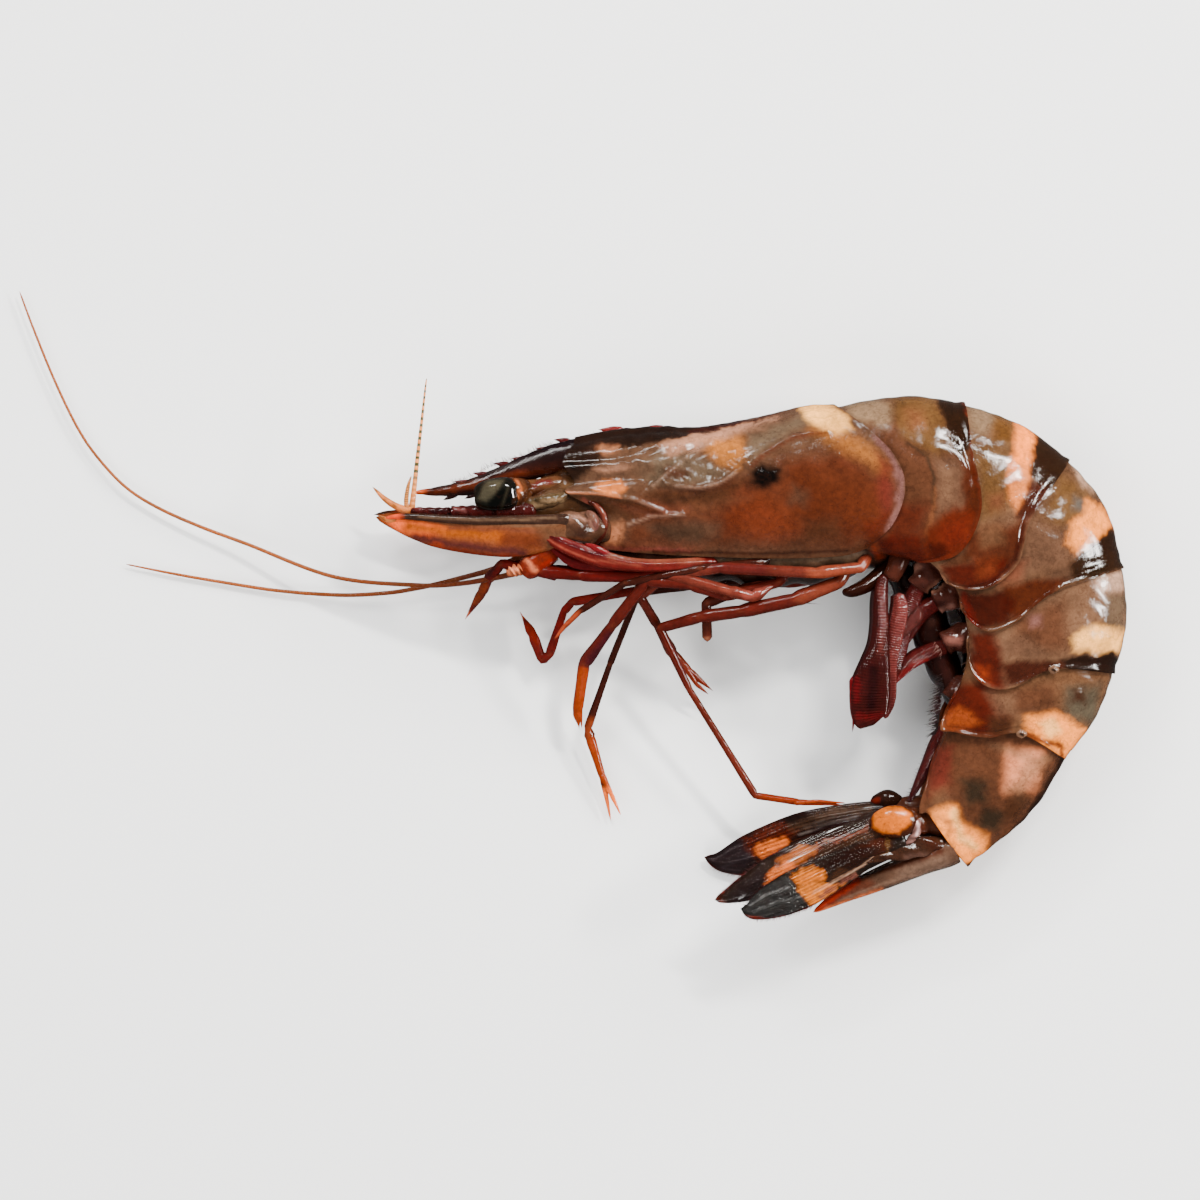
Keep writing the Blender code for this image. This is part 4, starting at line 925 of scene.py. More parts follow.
dress_pair("scale_rib", RIB, tone(74, 52, 42), RIB_PAINT, shift=(-1.8, 0.7), segments=16, rings=60)
BASE_PAINT = [(tone(140, 104, 84), 0.75, 4, 0, [(560, 515), (580, 508), (596, 514), (594, 521), (570, 524)]),
              (tone(58, 36, 30), 0.8, 4, 0, [(576, 529), (586, 525), (592, 531), (584, 539), (574, 537)]),
              # Painted highlight: a light pink streak over the base.
              (tone(200, 164, 144), 0.7, 1.5, 0.8, [(566, 519), (578, 517), (590, 522), (594, 531)]),
              (tone(88, 62, 46), 0.8, 4, 0, [(554, 520), (568, 522), (570, 540), (554, 540)]),
              (tone(140, 84, 58), 0.8, 3, 3, [(566, 542), (592, 543)])]
dress_pair("feeler_base", [(-5.6, 12.6, 16.0, 1.0, 0.8), (-2.4, 12.4, 16.6, 1.9, 1.4),
                           (1.2, 12.0, 16.6, 2.45, 1.8), (4.4, 11.8, 15.4, 2.4, 1.7),
                           (7.4, 11.8, 13.0, 1.6, 1.2)], tone(96, 66, 50), BASE_PAINT, segments=36,
           rings=36, swell=lambda share, turn: 0.16 * np.sin(share * 22 + 2 * turn)
                           + 0.12 * np.sin(share * 9 - 3 * turn))
dress_pair("base_knob", seen((586, 512, 16.6, 2, 0.5), (592, 517, 17.2, 5, 1.1), (595, 526, 17.0, 4.5, 1.0),
                             (592, 534, 16.2, 2, 0.5)), tone(128, 84, 74), BASE_PAINT, segments=24,
           rings=24)
dress_pair("front_rim", seen((586, 500, 15.4, 1.6, 0.3), (597, 507, 16.2, 3.4, 0.5),
                             (603, 516, 16.4, 4.2, 0.6), (604, 527, 16.2, 4.2, 0.6),
                             (600, 538, 15.8, 3.6, 0.5), (592, 546, 15.2, 2, 0.3)), tone(84, 36, 28),
           [(tone(150, 84, 66), 0.8, 1.5, 1.2, [(596, 506), (604, 514), (606, 526)])], segments=12,
           rings=40)
dress_pair("head_block", [(6.0, 16.6, 12.0, 4.4, 2.2), (2.0, 16.2, 12.6, 4.4, 2.6),
                          (-3.6, 15.4, 12.8, 3.4, 2.8), (-8.4, 14.4, 12.6, 2.0, 2.0),
                          (-11.0, 14.2, 12.4, 1.1, 1.4)], tone(84, 56, 36), STALK_PAINT, segments=24,
           rings=30)

# The little feelers: three-jointed dark red stalks that lie on the scales, each with short pale
# whips at the end; one whip of the left pair stands up, cream with dark green bands.
STALK_DARKS = [(tone(130, 58, 60), 0.8, 1.5, 1.5, [(410, 509), (420, 508)]),
               (tone(40, 18, 22), 0.9, 1.5, 2, [(432, 512), (450, 510)]),
               (tone(150, 96, 92), 0.8, 1.2, 1.2, [(455, 509), (466, 511)]),
               (tone(176, 60, 50), 0.8, 2, 2, [(401, 511), (408, 511)])]
dress_pair("little_feeler_stalk", [(-5.0, 14.6, 15.4, 1.5, 1.4), (-11.5, 14.5, 15.8, 1.25, 1.2),
                                   (-12.2, 14.5, 15.8, 1.05, 1.0), (-18.6, 14.4, 15.6, 0.95, 0.9),
                                   (-19.2, 14.4, 15.6, 0.75, 0.7), (-25.4, 14.5, 15.0, 0.7, 0.65)],
           tone(80, 30, 28), STALK_DARKS, segments=16, rings=60,
           swell=lambda share, turn: 0.08 * np.sin(share * 90 + 3 * turn))
whip_look = Look("banded whip")
whip_bands = (whip_look.around * 130).math("SINE").step(-0.1, 0.5)
whip_colour = whip_look.mix(whip_bands * whip_look.around.step(0.12, 0.3), tone(216, 168, 96),
                            tone(96, 88, 44))
whip_colour = whip_look.mix(whip_look.around.step(0.3, 0.05), whip_colour, tone(204, 148, 80))
whip_material = whip_look.finish(whip_colour, 0.4, 0.5, (whip_look.around * 160).math("SINE"), 0.05)
limb("upright_whip", [(-25.0, 14.6, 14.6, 0.55, 0.55), (-24.6, 18.0, 14.4, 0.42, 0.42),
                      (-24.1, 22.8, 14.0, 0.34, 0.34), (-23.4, 29.0, 13.4, 0.24, 0.24),
                      (-22.8, 34.6, 12.8, 0.14, 0.14), (-22.6, 35.9, 12.6, 0.06, 0.06)], whip_material, 10,
     80)
limb("second_whip", seen((408, 511, 14.8, 2.6, 0.45), (407, 500, 14.6, 2.4, 0.4),
                         (409, 486, 14.2, 1.8, 0.3), (412, 476, 13.8, 0.5, 0.08)), whip_material, 10, 40)
pale_look = Look("peach whip")
pale_colour = pale_look.mix(pale_look.noise(500, 2).step(0.4, 0.6), tone(182, 116, 50), tone(214, 156, 84))
pale_material = pale_look.finish(pale_colour, 0.3, 0.7, (pale_look.around * 200).math("SINE"), 0.05)
both_sides("peach_whip", [(-24.4, 14.4, 14.8, 0.66, 0.6), (-27.2, 15.2, 14.6, 0.6, 0.5),
                          (-29.4, 16.6, 14.2, 0.42, 0.38), (-31.3, 18.5, 13.8, 0.08, 0.08)], pale_material,
           segments=10, rings=24)
limb("short_whip", seen((400, 520, 15.2, 3.5, 0.5), (388, 520, 15.0, 2.8, 0.45),
                        (378, 515, 14.6, 0.5, 0.1)), pale_material, 10, 20)

# The two long feelers: finely ringed orange-tan whips, stiff and springy, that leave the base
# under the scales and sink to the table.
feeler_look = Look("long feeler")
feeler_colour = feeler_look.mix(feeler_look.x.step(-10, -60), tone(104, 48, 26), tone(178, 104, 44))
feeler_colour = feeler_look.mix(feeler_look.noise(200, 3).step(0.45, 0.65) * 0.4, feeler_colour,
                                tone(130, 76, 38))
feeler_material = feeler_look.finish(feeler_colour, 0.35, 0.6, (feeler_look.around * 900).math("SINE"), 0.04)
limb("left_long_feeler", [
    (-1.0, 10.0, 15.0, 0.9, 0.9), (-4.4, 7.4, 15.0, 0.8, 0.8), (-6.6, 5.4, 14.6, 0.65, 0.65),
    (-9.5, 4.4, 13.8, 0.5, 0.5), (-17.5, 3.0, 11.0, 0.42, 0.42), (-24.9, 2.8, 8.4, 0.38, 0.38),
    (-38.0, 4.2, 4.8, 0.34, 0.34), (-51.8, 9.4, 2.6, 0.31, 0.31), (-59.6, 12.3, 1.9, 0.3, 0.3),
    (-66.5, 15.4, 1.4, 0.28, 0.28), (-71.6, 18.7, 1.2, 0.26, 0.26), (-76.2, 23.6, 1.0, 0.25, 0.25),
    (-79.4, 28.4, 0.9, 0.24, 0.24), (-82.9, 35.6, 0.9, 0.22, 0.22), (-86.3, 43.9, 0.9, 0.2, 0.2),
    (-88.7, 50.3, 0.9, 0.13, 0.13)], feeler_material, 10, 220)
limb("right_long_feeler", [
    (-1.0, 10.0, 6.0, 0.9, 0.9), (-4.6, 8.2, 5.8, 0.8, 0.8), (-8.6, 6.8, 5.4, 0.65, 0.65),
    (-12.6, 5.2, 4.8, 0.5, 0.5), (-19.9, 3.3, 3.4, 0.4, 0.4), (-24.9, 2.2, 2.6, 0.38, 0.38),
    (-29.7, 1.5, 1.9, 0.36, 0.36), (-37.0, 1.2, 1.2, 0.34, 0.34), (-46.9, 1.9, 0.8, 0.31, 0.31),
    (-56.7, 3.4, 0.6, 0.28, 0.28), (-63.6, 4.6, 0.6, 0.24, 0.24), (-71.6, 6.2, 0.6, 0.12, 0.12)],
     feeler_material, 10, 200)

# The mouth: crimson pointed leaves, orange blocks of the feeler joints and a torn pale scrap
# hang under the front of the shell.
LEAF_PAINT = [(tone(160, 84, 66), 0.8, 1.0, 0.9, [(546, 538), (566, 550), (590, 560), (640, 566)]),
              (tone(72, 20, 24), 0.95, 1.4, 1.6, [(545, 535), (570, 545), (600, 556), (660, 560)]),
              (tone(150, 84, 62), 0.85, 3, 3, [(610, 557), (660, 560), (700, 561)])]
dress_pair("mouth_leaf", [(24.0, 6.4, 15.6, 0.9, 0.8), (12.0, 5.9, 17.4, 1.0, 0.7),
                          (4.7, 7.1, 17.8, 1.35, 0.7), (-0.9, 9.2, 17.8, 1.1, 0.6),
                          (-3.4, 10.6, 17.6, 0.7, 0.4), (-4.9, 11.4, 17.4, 0.12, 0.12)], tone(118, 38, 34),
           LEAF_PAINT, segments=28, rings=60, swell=lambda share, turn: 0.08 * np.sin(turn * 6))
dress_pair("second_leaf", seen((640, 566, 16.2, 3, 0.5), (600, 566, 16.6, 5, 0.6), (575, 562, 16.8, 6, 0.5),
                               (556, 551, 16.8, 3, 0.3), (548, 544, 16.8, 0.6, 0.1)), tone(100, 24, 26),
           LEAF_PAINT, segments=24, rings=40, swell=lambda share, turn: 0.08 * np.sin(turn * 5))
dress_pair("third_leaf", seen((612, 556, 17.6, 2, 0.4), (600, 551, 18.0, 4, 0.4), (592, 547, 18.0, 3, 0.3),
                              (585, 544, 18.0, 0.6, 0.1)), tone(140, 34, 40), LEAF_PAINT, segments=20,
           rings=30)
BLOCK_PAINT = [(tone(206, 140, 100), 0.85, 2, 2.5, [(526, 560), (536, 572)]),
               (tone(160, 36, 20), 0.8, 2, 2, [(541, 568), (554, 560)])]
dress_pair("orange_joint", [(-2.0, 8.4, 14.8, 1.4, 1.4), (-4.0, 7.2, 15.2, 1.9, 1.6),
                            (-6.2, 5.6, 15.2, 1.9, 1.6), (-7.6, 4.6, 15.0, 1.2, 1.1)], tone(132, 46, 28),
           BLOCK_PAINT, segments=24, rings=24)
dress_pair("red_strap", seen((560, 574, 13.6, 8, 1.0), (536, 570, 13.8, 6, 1.0), (515, 567, 13.8, 5, 0.8),
                             (498, 562, 13.4, 3, 0.5)), tone(120, 26, 26), segments=20, rings=30)
dress("pale_scrap", [(-7.0, 5.2, 15.6, 0.5, 0.5), (-8.6, 5.1, 15.6, 0.8, 0.7), (-9.9, 4.8, 15.2, 0.3, 0.3)],
      tone(196, 132, 92), [(tone(226, 180, 146), 0.9, 2, 2, [(511, 569), (516, 570)])], segments=28, rings=24,
      swell=lambda share, turn: 0.3 * np.sin(turn * 3 + share * 26))
dress("under_scrap", seen((528, 563, 15.4, 4, 0.5), (518, 572, 15.0, 3, 0.5), (508, 568, 14.8, 2, 0.3)),
      tone(190, 112, 92), segments=24, rings=20,
      swell=lambda share, turn: 0.2 * np.sin(turn * 4 + share * 30))

# The walking legs: slender dark red tubes of shell with bare joints between them, the front
# ones ending in small orange claws; some are folded under the breast, one is broken off.
CLAW_ORANGE = tone(164, 70, 28)
JOINT_PALE = tone(152, 84, 58)


def leg(name, points, radii, ground, shapes=()):
    """Jointed leg: a tube through its joints, a little thicker before each joint and pinched at it."""
    rows = []
    joints = []
    for number, (first, last) in enumerate(zip(points, points[1:])):
        first = np.array(first, float)
        last = np.array(last, float)
        length = np.linalg.norm(last - first)
        ahead = (last - first) / length
        r1 = radii[number]
        r2 = radii[number + 1]
        inset = min(1.1 * max(r1, r2), 0.22 * length)
        for spot, r in [(first, r1 * 0.9), (first + ahead * inset, r1 * 0.97),
                        ((first + last) / 2, (r1 + r2) / 2), (last - ahead * inset, r2 * 1.1)]:
            rows.append(tuple(spot) + (r, r))
        if number:
            column = PHOTO_ZERO[0] + first[0] / PHOTO_SCALE
            row = PHOTO_ZERO[1] - first[1] / PHOTO_SCALE
            joints.append((JOINT_PALE, 0.3, 1.6, 0.6 + r1 * 1.2, [(column - 0.5, row), (column + 0.5, row)]))
    rows.append(tuple(points[-1]) + (radii[-1], radii[-1]))
    dress(name, rows, ground, joints + list(shapes), segments=14, rings=14 * (len(points) - 1))


RED = tone(104, 38, 30)
DARK = tone(74, 34, 26)
PINK = tone(120, 54, 42)
leg("left_mouth_leg", [(24.0, 7.5, 14.0), (11.4, 4.1, 15.5), (1.8, 4.4, 15.8), (-4.6, 4.9, 15.4),
                       (-10.6, 6.2, 14.4), (-12.9, 3.6, 12.0), (-13.8, 1.7, 10.0), (-16.7, -2.8, 5.4)],
    [1.0, 1.05, 1.0, 0.95, 0.8, 0.85, 0.8, 0.12], tone(104, 28, 24),
    [(tone(58, 24, 24), 0.8, 3, 4, [(494, 562), (489, 575)]),
     (tone(140, 64, 34), 0.9, 3, 5, [(484, 586), (474, 602)]),
     (tone(206, 130, 90), 0.9, 3, 3, [(466, 612), (463, 620)])])
leg("right_mouth_leg", [(25.6, 7.9, 6.8), (13.0, 4.5, 5.3), (3.4, 4.8, 5.0), (-3.0, 5.3, 5.4),
                        (-9.0, 6.6, 6.4)], [1.0, 1.05, 1.0, 0.8, 0.4], tone(104, 28, 24))
leg("first_left_leg", [(36.0, 8.5, 12.0), (30.6, 6.4, 16.4), (21.0, 5.4, 17.0), (9.0, 3.1, 16.0),
                       (1.8, -1.4, 12.0), (-0.6, -3.8, 10.4), (-2.5, -6.2, 9.2)],
    [0.9, 0.7, 0.65, 0.6, 0.5, 0.4, 0.1], DARK, [(tone(190, 96, 56), 0.9, 3, 3,
                                                  [(576, 614), (566, 624), (557, 636)])])
FIRST_CLAW = [(tone(156, 44, 24), 0.9, 3, 5, [(538, 640), (530, 626)]),
              (tone(206, 112, 60), 0.9, 3, 4, [(521, 613), (517, 609)]),
              (tone(140, 30, 28), 0.8, 3, 5, [(562, 604), (556, 628)])]
leg("first_right_leg", [(22.0, 8.0, 7.0), (19.4, 3.9, 6.2), (11.4, 2.0, 6.0), (0.6, 0.1, 6.0),
                        (-0.8, -1.5, 5.8), (-3.1, -8.4, 4.0), (-4.3, -9.2, 3.6), (-5.8, -5.2, 3.6),
                        (-7.9, -1.4, 3.6)], [0.9, 0.8, 0.75, 0.7, 0.65, 0.7, 0.8, 0.8, 0.12],
    tone(120, 36, 30), FIRST_CLAW)
leg("second_left_leg", [(37.0, 8.5, 13.0), (33.5, 3.2, 15.0), (25.0, 1.0, 15.4), (19.4, 2.8, 16.0),
                        (12.4, 3.5, 15.8), (7.0, -3.6, 12.0), (2.5, -9.8, 8.6), (1.4, -17.5, 5.4),
                        (1.7, -20.4, 4.4)], [1.0, 0.85, 0.85, 0.85, 0.95, 0.88, 1.0, 0.8, 0.14], RED,
    [(tone(78, 30, 40), 0.8, 4, 5, [(610, 636), (592, 660)]),
     (CLAW_ORANGE, 0.95, 3, 7, [(582, 674), (580, 700), (578, 730)])])
leg("second_right_leg", [(32.0, 8.0, 8.0), (28.0, 3.4, 8.0), (19.4, 2.6, 8.0), (11.2, 1.6, 7.8),
                         (6.6, -10.0, 5.0), (3.1, -20.1, 2.8), (3.4, -21.6, 2.6), (5.5, -28.4, 1.8),
                         (6.8, -35.3, 0.8)], [0.9, 0.75, 0.7, 0.6, 0.52, 0.62, 0.85, 0.55, 0.12], DARK,
    [(tone(150, 70, 36), 0.9, 3, 5, [(590, 722), (587, 734)]),
     (CLAW_ORANGE, 0.95, 3, 7, [(592, 744), (603, 776)]),
     (tone(222, 146, 66), 0.9, 5, 7, [(606, 796), (614, 826)])])
leg("third_left_leg", [(49.0, 9.5, 13.0), (46.5, 5.6, 16.4), (39.4, 4.7, 17.4), (24.2, 5.5, 17.2),
                       (15.4, 4.2, 15.6), (11.4, 1.0, 13.4), (14.2, -3.6, 9.6), (16.7, -8.2, 6.4),
                       (19.4, -11.1, 4.8), (23.3, -14.3, 3.4)],
    [1.0, 0.95, 0.95, 0.9, 0.85, 0.8, 0.75, 0.9, 0.68, 0.12], PINK,
    [(tone(160, 82, 56), 0.8, 5, 7, [(812, 573), (845, 570), (866, 566)]),
     (tone(100, 36, 34), 0.8, 6, 7, [(715, 566), (760, 570)]),
     (tone(90, 34, 26), 0.9, 4, 6, [(645, 600), (664, 645)]),
     (tone(150, 56, 30), 0.9, 4, 6, [(678, 660), (712, 692)])])
leg("third_right_leg", [(38.0, 8.5, 7.0), (30.0, 5.0, 4.6), (20.0, 4.6, 4.0), (9.0, 4.0, 4.2)],
    [0.9, 0.7, 0.65, 0.4], RED)
leg("fourth_left_leg", [(46.0, 9.0, 12.0), (43.0, 3.2, 15.0), (35.9, 0.4, 15.6), (27.4, -1.4, 14.8),
                        (21.0, -2.3, 13.8), (14.6, -4.1, 12.0), (19.4, -14.0, 9.8), (30.0, -31.0, 7.0),
                        (37.0, -32.0, 8.4), (44.0, -32.4, 9.8)],
    [1.0, 1.15, 1.2, 1.1, 1.0, 0.78, 0.55, 0.6, 0.52, 0.12], RED,
    [(tone(140, 70, 50), 0.8, 4, 6, [(800, 599), (830, 586), (846, 580)]),
     (tone(112, 46, 32), 0.8, 4, 6, [(690, 690), (750, 790)]),
     (tone(156, 60, 26), 0.95, 4, 7, [(764, 800), (800, 806), (846, 808)])])
leg("folded_left_leg", [from_photo(774, 584) + (15.4,), from_photo(752, 597) + (16.2,),
                        from_photo(728, 591) + (16.6,), from_photo(666, 574) + (16.0,),
                        from_photo(648, 575) + (15.0,)], [0.5, 0.95, 0.95, 0.95, 0.6], PINK,
    [(tone(160, 84, 66), 0.6, 3, 2, [(722, 588), (729, 592)]),
     (tone(160, 84, 72), 0.7, 4, 4, [(745, 596), (765, 588)])])
leg("fourth_right_leg", [(44.0, 9.0, 7.0), (37.0, 4.6, 5.0), (28.0, 4.4, 4.6), (19.0, 5.4, 4.4)],
    [0.9, 0.75, 0.65, 0.4], RED)
leg("broken_left_leg", [(38.0, 8.5, 12.0), (33.0, 3.4, 12.6), (27.4, 2.0, 13.0), (22.0, -0.1, 13.2),
                        (22.2, -6.3, 11.4)], [0.9, 0.85, 0.85, 0.85, 0.75], tone(96, 44, 34),
    [(tone(176, 120, 90), 0.8, 1.5, 4, [(704, 642), (709, 642)])])
leg("fifth_right_leg", [(50.0, 9.5, 8.0), (44.0, 4.2, 6.0), (35.0, 3.0, 5.4), (27.0, 3.6, 5.4)],
    [0.9, 0.8, 0.7, 0.4], RED)
FINGER_PAINT = [(tone(222, 146, 66), 0.9, 5, 6, [(608, 796), (621, 818)])]
leg("second_right_finger", [(5.2, -27.6, 1.9), (6.9, -31.0, 2.0), (8.4, -34.3, 1.8)], [0.6, 0.38, 0.1],
    CLAW_ORANGE, FINGER_PAINT)
leg("second_left_finger", [(2.2, -12.6, 7.6), (1.9, -16.0, 6.2), (2.1, -20.2, 4.6)], [0.5, 0.38, 0.1],
    CLAW_ORANGE)
leg("third_left_finger", [(18.4, -9.8, 5.4), (20.6, -13.2, 4.6), (22.5, -14.8, 4.2)], [0.55, 0.35, 0.1],
    tone(150, 56, 30))
leg("fourth_left_finger", [(36.0, -32.2, 8.6), (40.0, -31.8, 9.4), (44.4, -32.1, 10.2)], [0.4, 0.28, 0.1],
    CLAW_ORANGE)
for number, (name, line) in enumerate([
        ("mouth", [(-11.0, 5.0, 13.4), (-13.4, 2.4, 10.8), (-15.4, -0.8, 7.6)]),
        ("elbow", [(1.2, 0.2, 6.4), (-0.4, -1.5, 6.2), (-2.6, -7.0, 4.6)]),
        ("claw", [(-3.4, -9.2, 3.9), (-4.8, -7.4, 3.9), (-6.6, -3.6, 3.9)]),
        ("knee", [(11.8, 0.4, 13.4), (13.6, -3.0, 10.6), (16.4, -7.8, 7.0)]),
        ("hand", [(16.7, -8.2, 6.8), (18.4, -10.2, 5.8), (21.0, -12.6, 4.6)])]):
    fringe(line, 34, (0.35, 1.1), (0.6, 0.5, 0.3), 0.05, name + "_bristles", bristle_material, 0.9)
fringe([(36.4, 0.2, 15.6), (37.0, -0.1, 15.8)], 2, (3.0, 3.6), (1.0, -0.1, 0.0), 0.07, "long_hair",
       bristle_material, 0.1)

# The swimming legs: soft stems under the hoops, each with a glossy, finely ribbed, crimson
# paddle; the front pair hang longest, and dark hairs line the belly behind them.
ribbed_skin = shell_look("ribbed skin", 0.9, 0.3, 330)
PADDLE_PAINT = [(tone(122, 62, 56), 0.85, 4, 3, [(880, 590), (882, 620), (880, 650)]),
                (tone(40, 16, 18), 0.85, 4, 5, [(872, 670), (870, 705)]),
                (tone(110, 20, 26), 0.8, 3, 3, [(854, 680), (856, 700)]),
                (tone(110, 24, 26), 0.85, 3, 3, [(858, 716), (872, 717), (886, 716)]),
                (tone(70, 26, 26), 0.8, 4, 4, [(868, 640), (862, 664)])]
dress_pair("front_stem", [(54.0, 11.0, 13.5, 2.2, 2.0), (52.4, 6.0, 15.0, 1.6, 1.6),
                          (51.0, 3.4, 15.4, 1.3, 1.3)], tone(84, 44, 34), segments=24, rings=24)
dress_pair("front_paddle", seen((882, 574, 15.6, 5, 0.9), (879, 598, 15.8, 7.6, 1.2),
                                (879, 625, 15.6, 8.6, 1.2), (878, 645, 15.4, 10.4, 1.1),
                                (875, 664, 15.0, 15, 1.0), (871, 685, 14.2, 19.5, 0.8),
                                (870, 703, 13.4, 19.5, 0.6), (870, 717, 12.7, 17, 0.4),
                                (873, 725, 12.3, 11, 0.25)), tone(70, 26, 24), PADDLE_PAINT,
           look=ribbed_skin, segments=40, rings=90, roll=10,
           swell=lambda share, turn: 0.10 * np.cos(turn * 5) * share)
dress("paddle_tip", seen((851, 676, 14.2, 3, 0.4), (852, 700, 13.4, 3, 0.5), (853, 718, 12.8, 1.5, 0.3),
                         (852, 732, 12.4, 0.5, 0.1)), tone(120, 20, 28), segments=16, rings=24)
dress_pair("front_paddle_twin", [(52.6, 1.6, 15.4, 0.8, 0.8), (52.9, -1.0, 15.6, 1.25, 1.1),
                                 (52.2, -5.0, 15.0, 1.3, 1.0), (51.4, -9.6, 14.2, 1.1, 0.8),
                                 (51.4, -15.4, 12.6, 0.9, 0.6), (50.6, -18.6, 11.6, 0.3, 0.2)],
           tone(124, 58, 54), [(tone(70, 26, 26), 0.8, 5, 5, [(888, 680), (888, 710)])], look=ribbed_skin,
           segments=32, rings=80, swell=lambda share, turn: 0.08 * np.cos(turn * 5))
dress_pair("inner_paddle", seen((917, 606, 14.6, 3, 0.6), (915, 616, 14.8, 7, 0.9),
                                (905, 628, 14.4, 6, 0.8), (896, 642, 13.8, 2, 0.3)), tone(104, 50, 46),
           look=ribbed_skin, segments=28, rings=40)
STEM_PAINT = [(tone(160, 118, 102), 0.85, 3, 4, [(908, 572), (914, 568)]),
              (tone(156, 112, 92), 0.85, 3, 4, [(930, 590), (938, 584)]),
              (tone(56, 26, 22), 0.85, 3, 4, [(918, 600), (940, 606)]),
              (tone(146, 104, 92), 0.8, 3, 3, [(936, 612), (950, 608)]),
              (tone(164, 112, 98), 0.85, 3, 4, [(946, 640), (958, 640)]),
              (tone(84, 42, 38), 0.8, 3, 4, [(930, 634), (940, 646)]),
              (tone(118, 66, 56), 0.8, 3, 4, [(942, 668), (956, 670)])]
dress("belly_skin", seen((884, 560, 10.0, 8, 3.0), (905, 580, 9.6, 16, 4.0), (922, 606, 9.4, 20, 4.4),
                         (935, 640, 9.2, 20, 4.4), (946, 672, 9.2, 16, 4.2), (958, 702, 9.4, 10, 3.6),
                         (962, 730, 9.4, 6, 3.0)), tone(44, 22, 18),
      [(tone(84, 50, 42), 0.7, 5, 5, [(912, 590), (932, 620)]),
       (tone(70, 36, 32), 0.7, 4, 5, [(936, 650), (950, 680)])], segments=32, rings=70,
      swell=lambda share, turn: 0.14 * np.sin(share * 40 + 2 * turn))
OTHER_PADDLES = [
    ([(60.0, 10.0, 13.5, 2.4, 2.2), (57.4, 5.0, 14.6, 2.4, 2.0), (55.4, 2.0, 14.6, 1.7, 1.5)],
     [(56.0, 3.0, 14.6, 1.2, 1.0), (54.2, -1.4, 14.0, 1.5, 1.2), (53.2, -6.0, 13.2, 1.3, 0.9),
      (52.4, -10.6, 12.6, 1.0, 0.6), (51.6, -13.6, 11.8, 0.2, 0.2)]),
    ([(66.0, 3.5, 13.5, 2.4, 2.2), (61.0, 1.2, 14.4, 2.4, 2.1), (58.2, -0.2, 14.4, 1.8, 1.6)],
     [(59.0, 0.2, 14.2, 1.2, 1.0), (56.0, -1.8, 13.8, 1.6, 1.2), (54.0, -5.0, 12.8, 1.3, 0.9),
      (52.8, -8.4, 11.8, 0.2, 0.2)]),
    ([(68.0, -6.0, 13.2, 2.2, 2.2), (62.4, -5.6, 14.0, 2.3, 2.1), (59.6, -6.8, 14.0, 1.7, 1.5)],
     [(60.4, -7.0, 14.0, 1.2, 1.0), (57.4, -8.0, 13.8, 1.3, 1.0), (54.6, -9.6, 13.2, 1.2, 0.8),
      (51.8, -13.2, 11.8, 0.2, 0.2)]),
    ([(67.0, -13.6, 12.6, 2.0, 2.0), (62.4, -13.8, 13.2, 2.0, 1.7), (60.8, -15.6, 13.2, 1.4, 1.2)],
     [(61.0, -19.4, 13.4, 0.8, 0.7), (59.4, -22.0, 13.4, 1.2, 0.9), (57.2, -26.6, 12.6, 0.9, 0.6),
      (54.4, -32.0, 11.8, 0.2, 0.2)]),
]
for number, (stem, paddle) in enumerate(OTHER_PADDLES):
    dress_pair("stem_" + str(number + 2), stem, tone(84, 46, 38), STEM_PAINT, segments=32, rings=32,
               swell=lambda share, turn: 0.2 * np.sin(share * 14 + 2 * turn)
                     + 0.1 * np.sin(share * 31 - 3 * turn))
    dress_pair("paddle_" + str(number + 2), paddle, tone(92, 32, 30), [
        (tone(136, 30, 30), 0.8, 2, 3, [(925, 660), (908, 668), (898, 680)]),
        (tone(70, 30, 32), 0.8, 3, 4, [(940, 745), (912, 800)])],
        look=ribbed_skin, segments=28, rings=60, swell=lambda share, turn: 0.06 * np.cos(turn * 5))
dress("belly_knob", seen((842, 592, 13.6, 2, 0.8), (849, 592, 14.4, 5.5, 1.4), (860, 588, 14.4, 7, 1.5),
                         (873, 580, 13.6, 8, 1.6), (884, 568, 12.6, 7, 1.6), (890, 556, 11.6, 4, 1.2)),
      tone(54, 26, 18), segments=28, rings=28)
dark_bristle_look = Look("dark hair")
dark_bristle_colour = dark_bristle_look.mix(dark_bristle_look.noise(400, 2).step(0.4, 0.6),
                                            tone(64, 20, 18), tone(34, 14, 12))
dark_bristles = dark_bristle_look.finish(dark_bristle_colour, 0.45, 0.3, dark_bristle_look.noise(600, 2),
                                         0.02)
belly_line = [(60.6, -10.5, 12.6), (59.6, -14.5, 12.4), (59.2, -18.0, 12.2), (58.8, -21.0, 12.0)]
fringe(belly_line, 190, (0.8, 2.6), (-1.0, -0.45, 0.1), 0.09, "belly_bristles", dark_bristles, 0.35)
fringe([(58.2, -22.6, 12.6), (56.4, -27.0, 12.2), (54.6, -31.6, 11.8)], 150, (0.5, 1.3), (-1.0, 0.3, 0.1),
       0.06, "rear_bristles", dark_bristles, 0.4)
pale_bristle_look = Look("pale hair")
pale_bristle_colour = pale_bristle_look.mix(pale_bristle_look.noise(400, 2).step(0.4, 0.6),
                                            tone(150, 116, 104), tone(110, 74, 64))
pale_bristles = pale_bristle_look.finish(pale_bristle_colour, 0.4, 0.3, pale_bristle_look.noise(600, 2), 0.02)
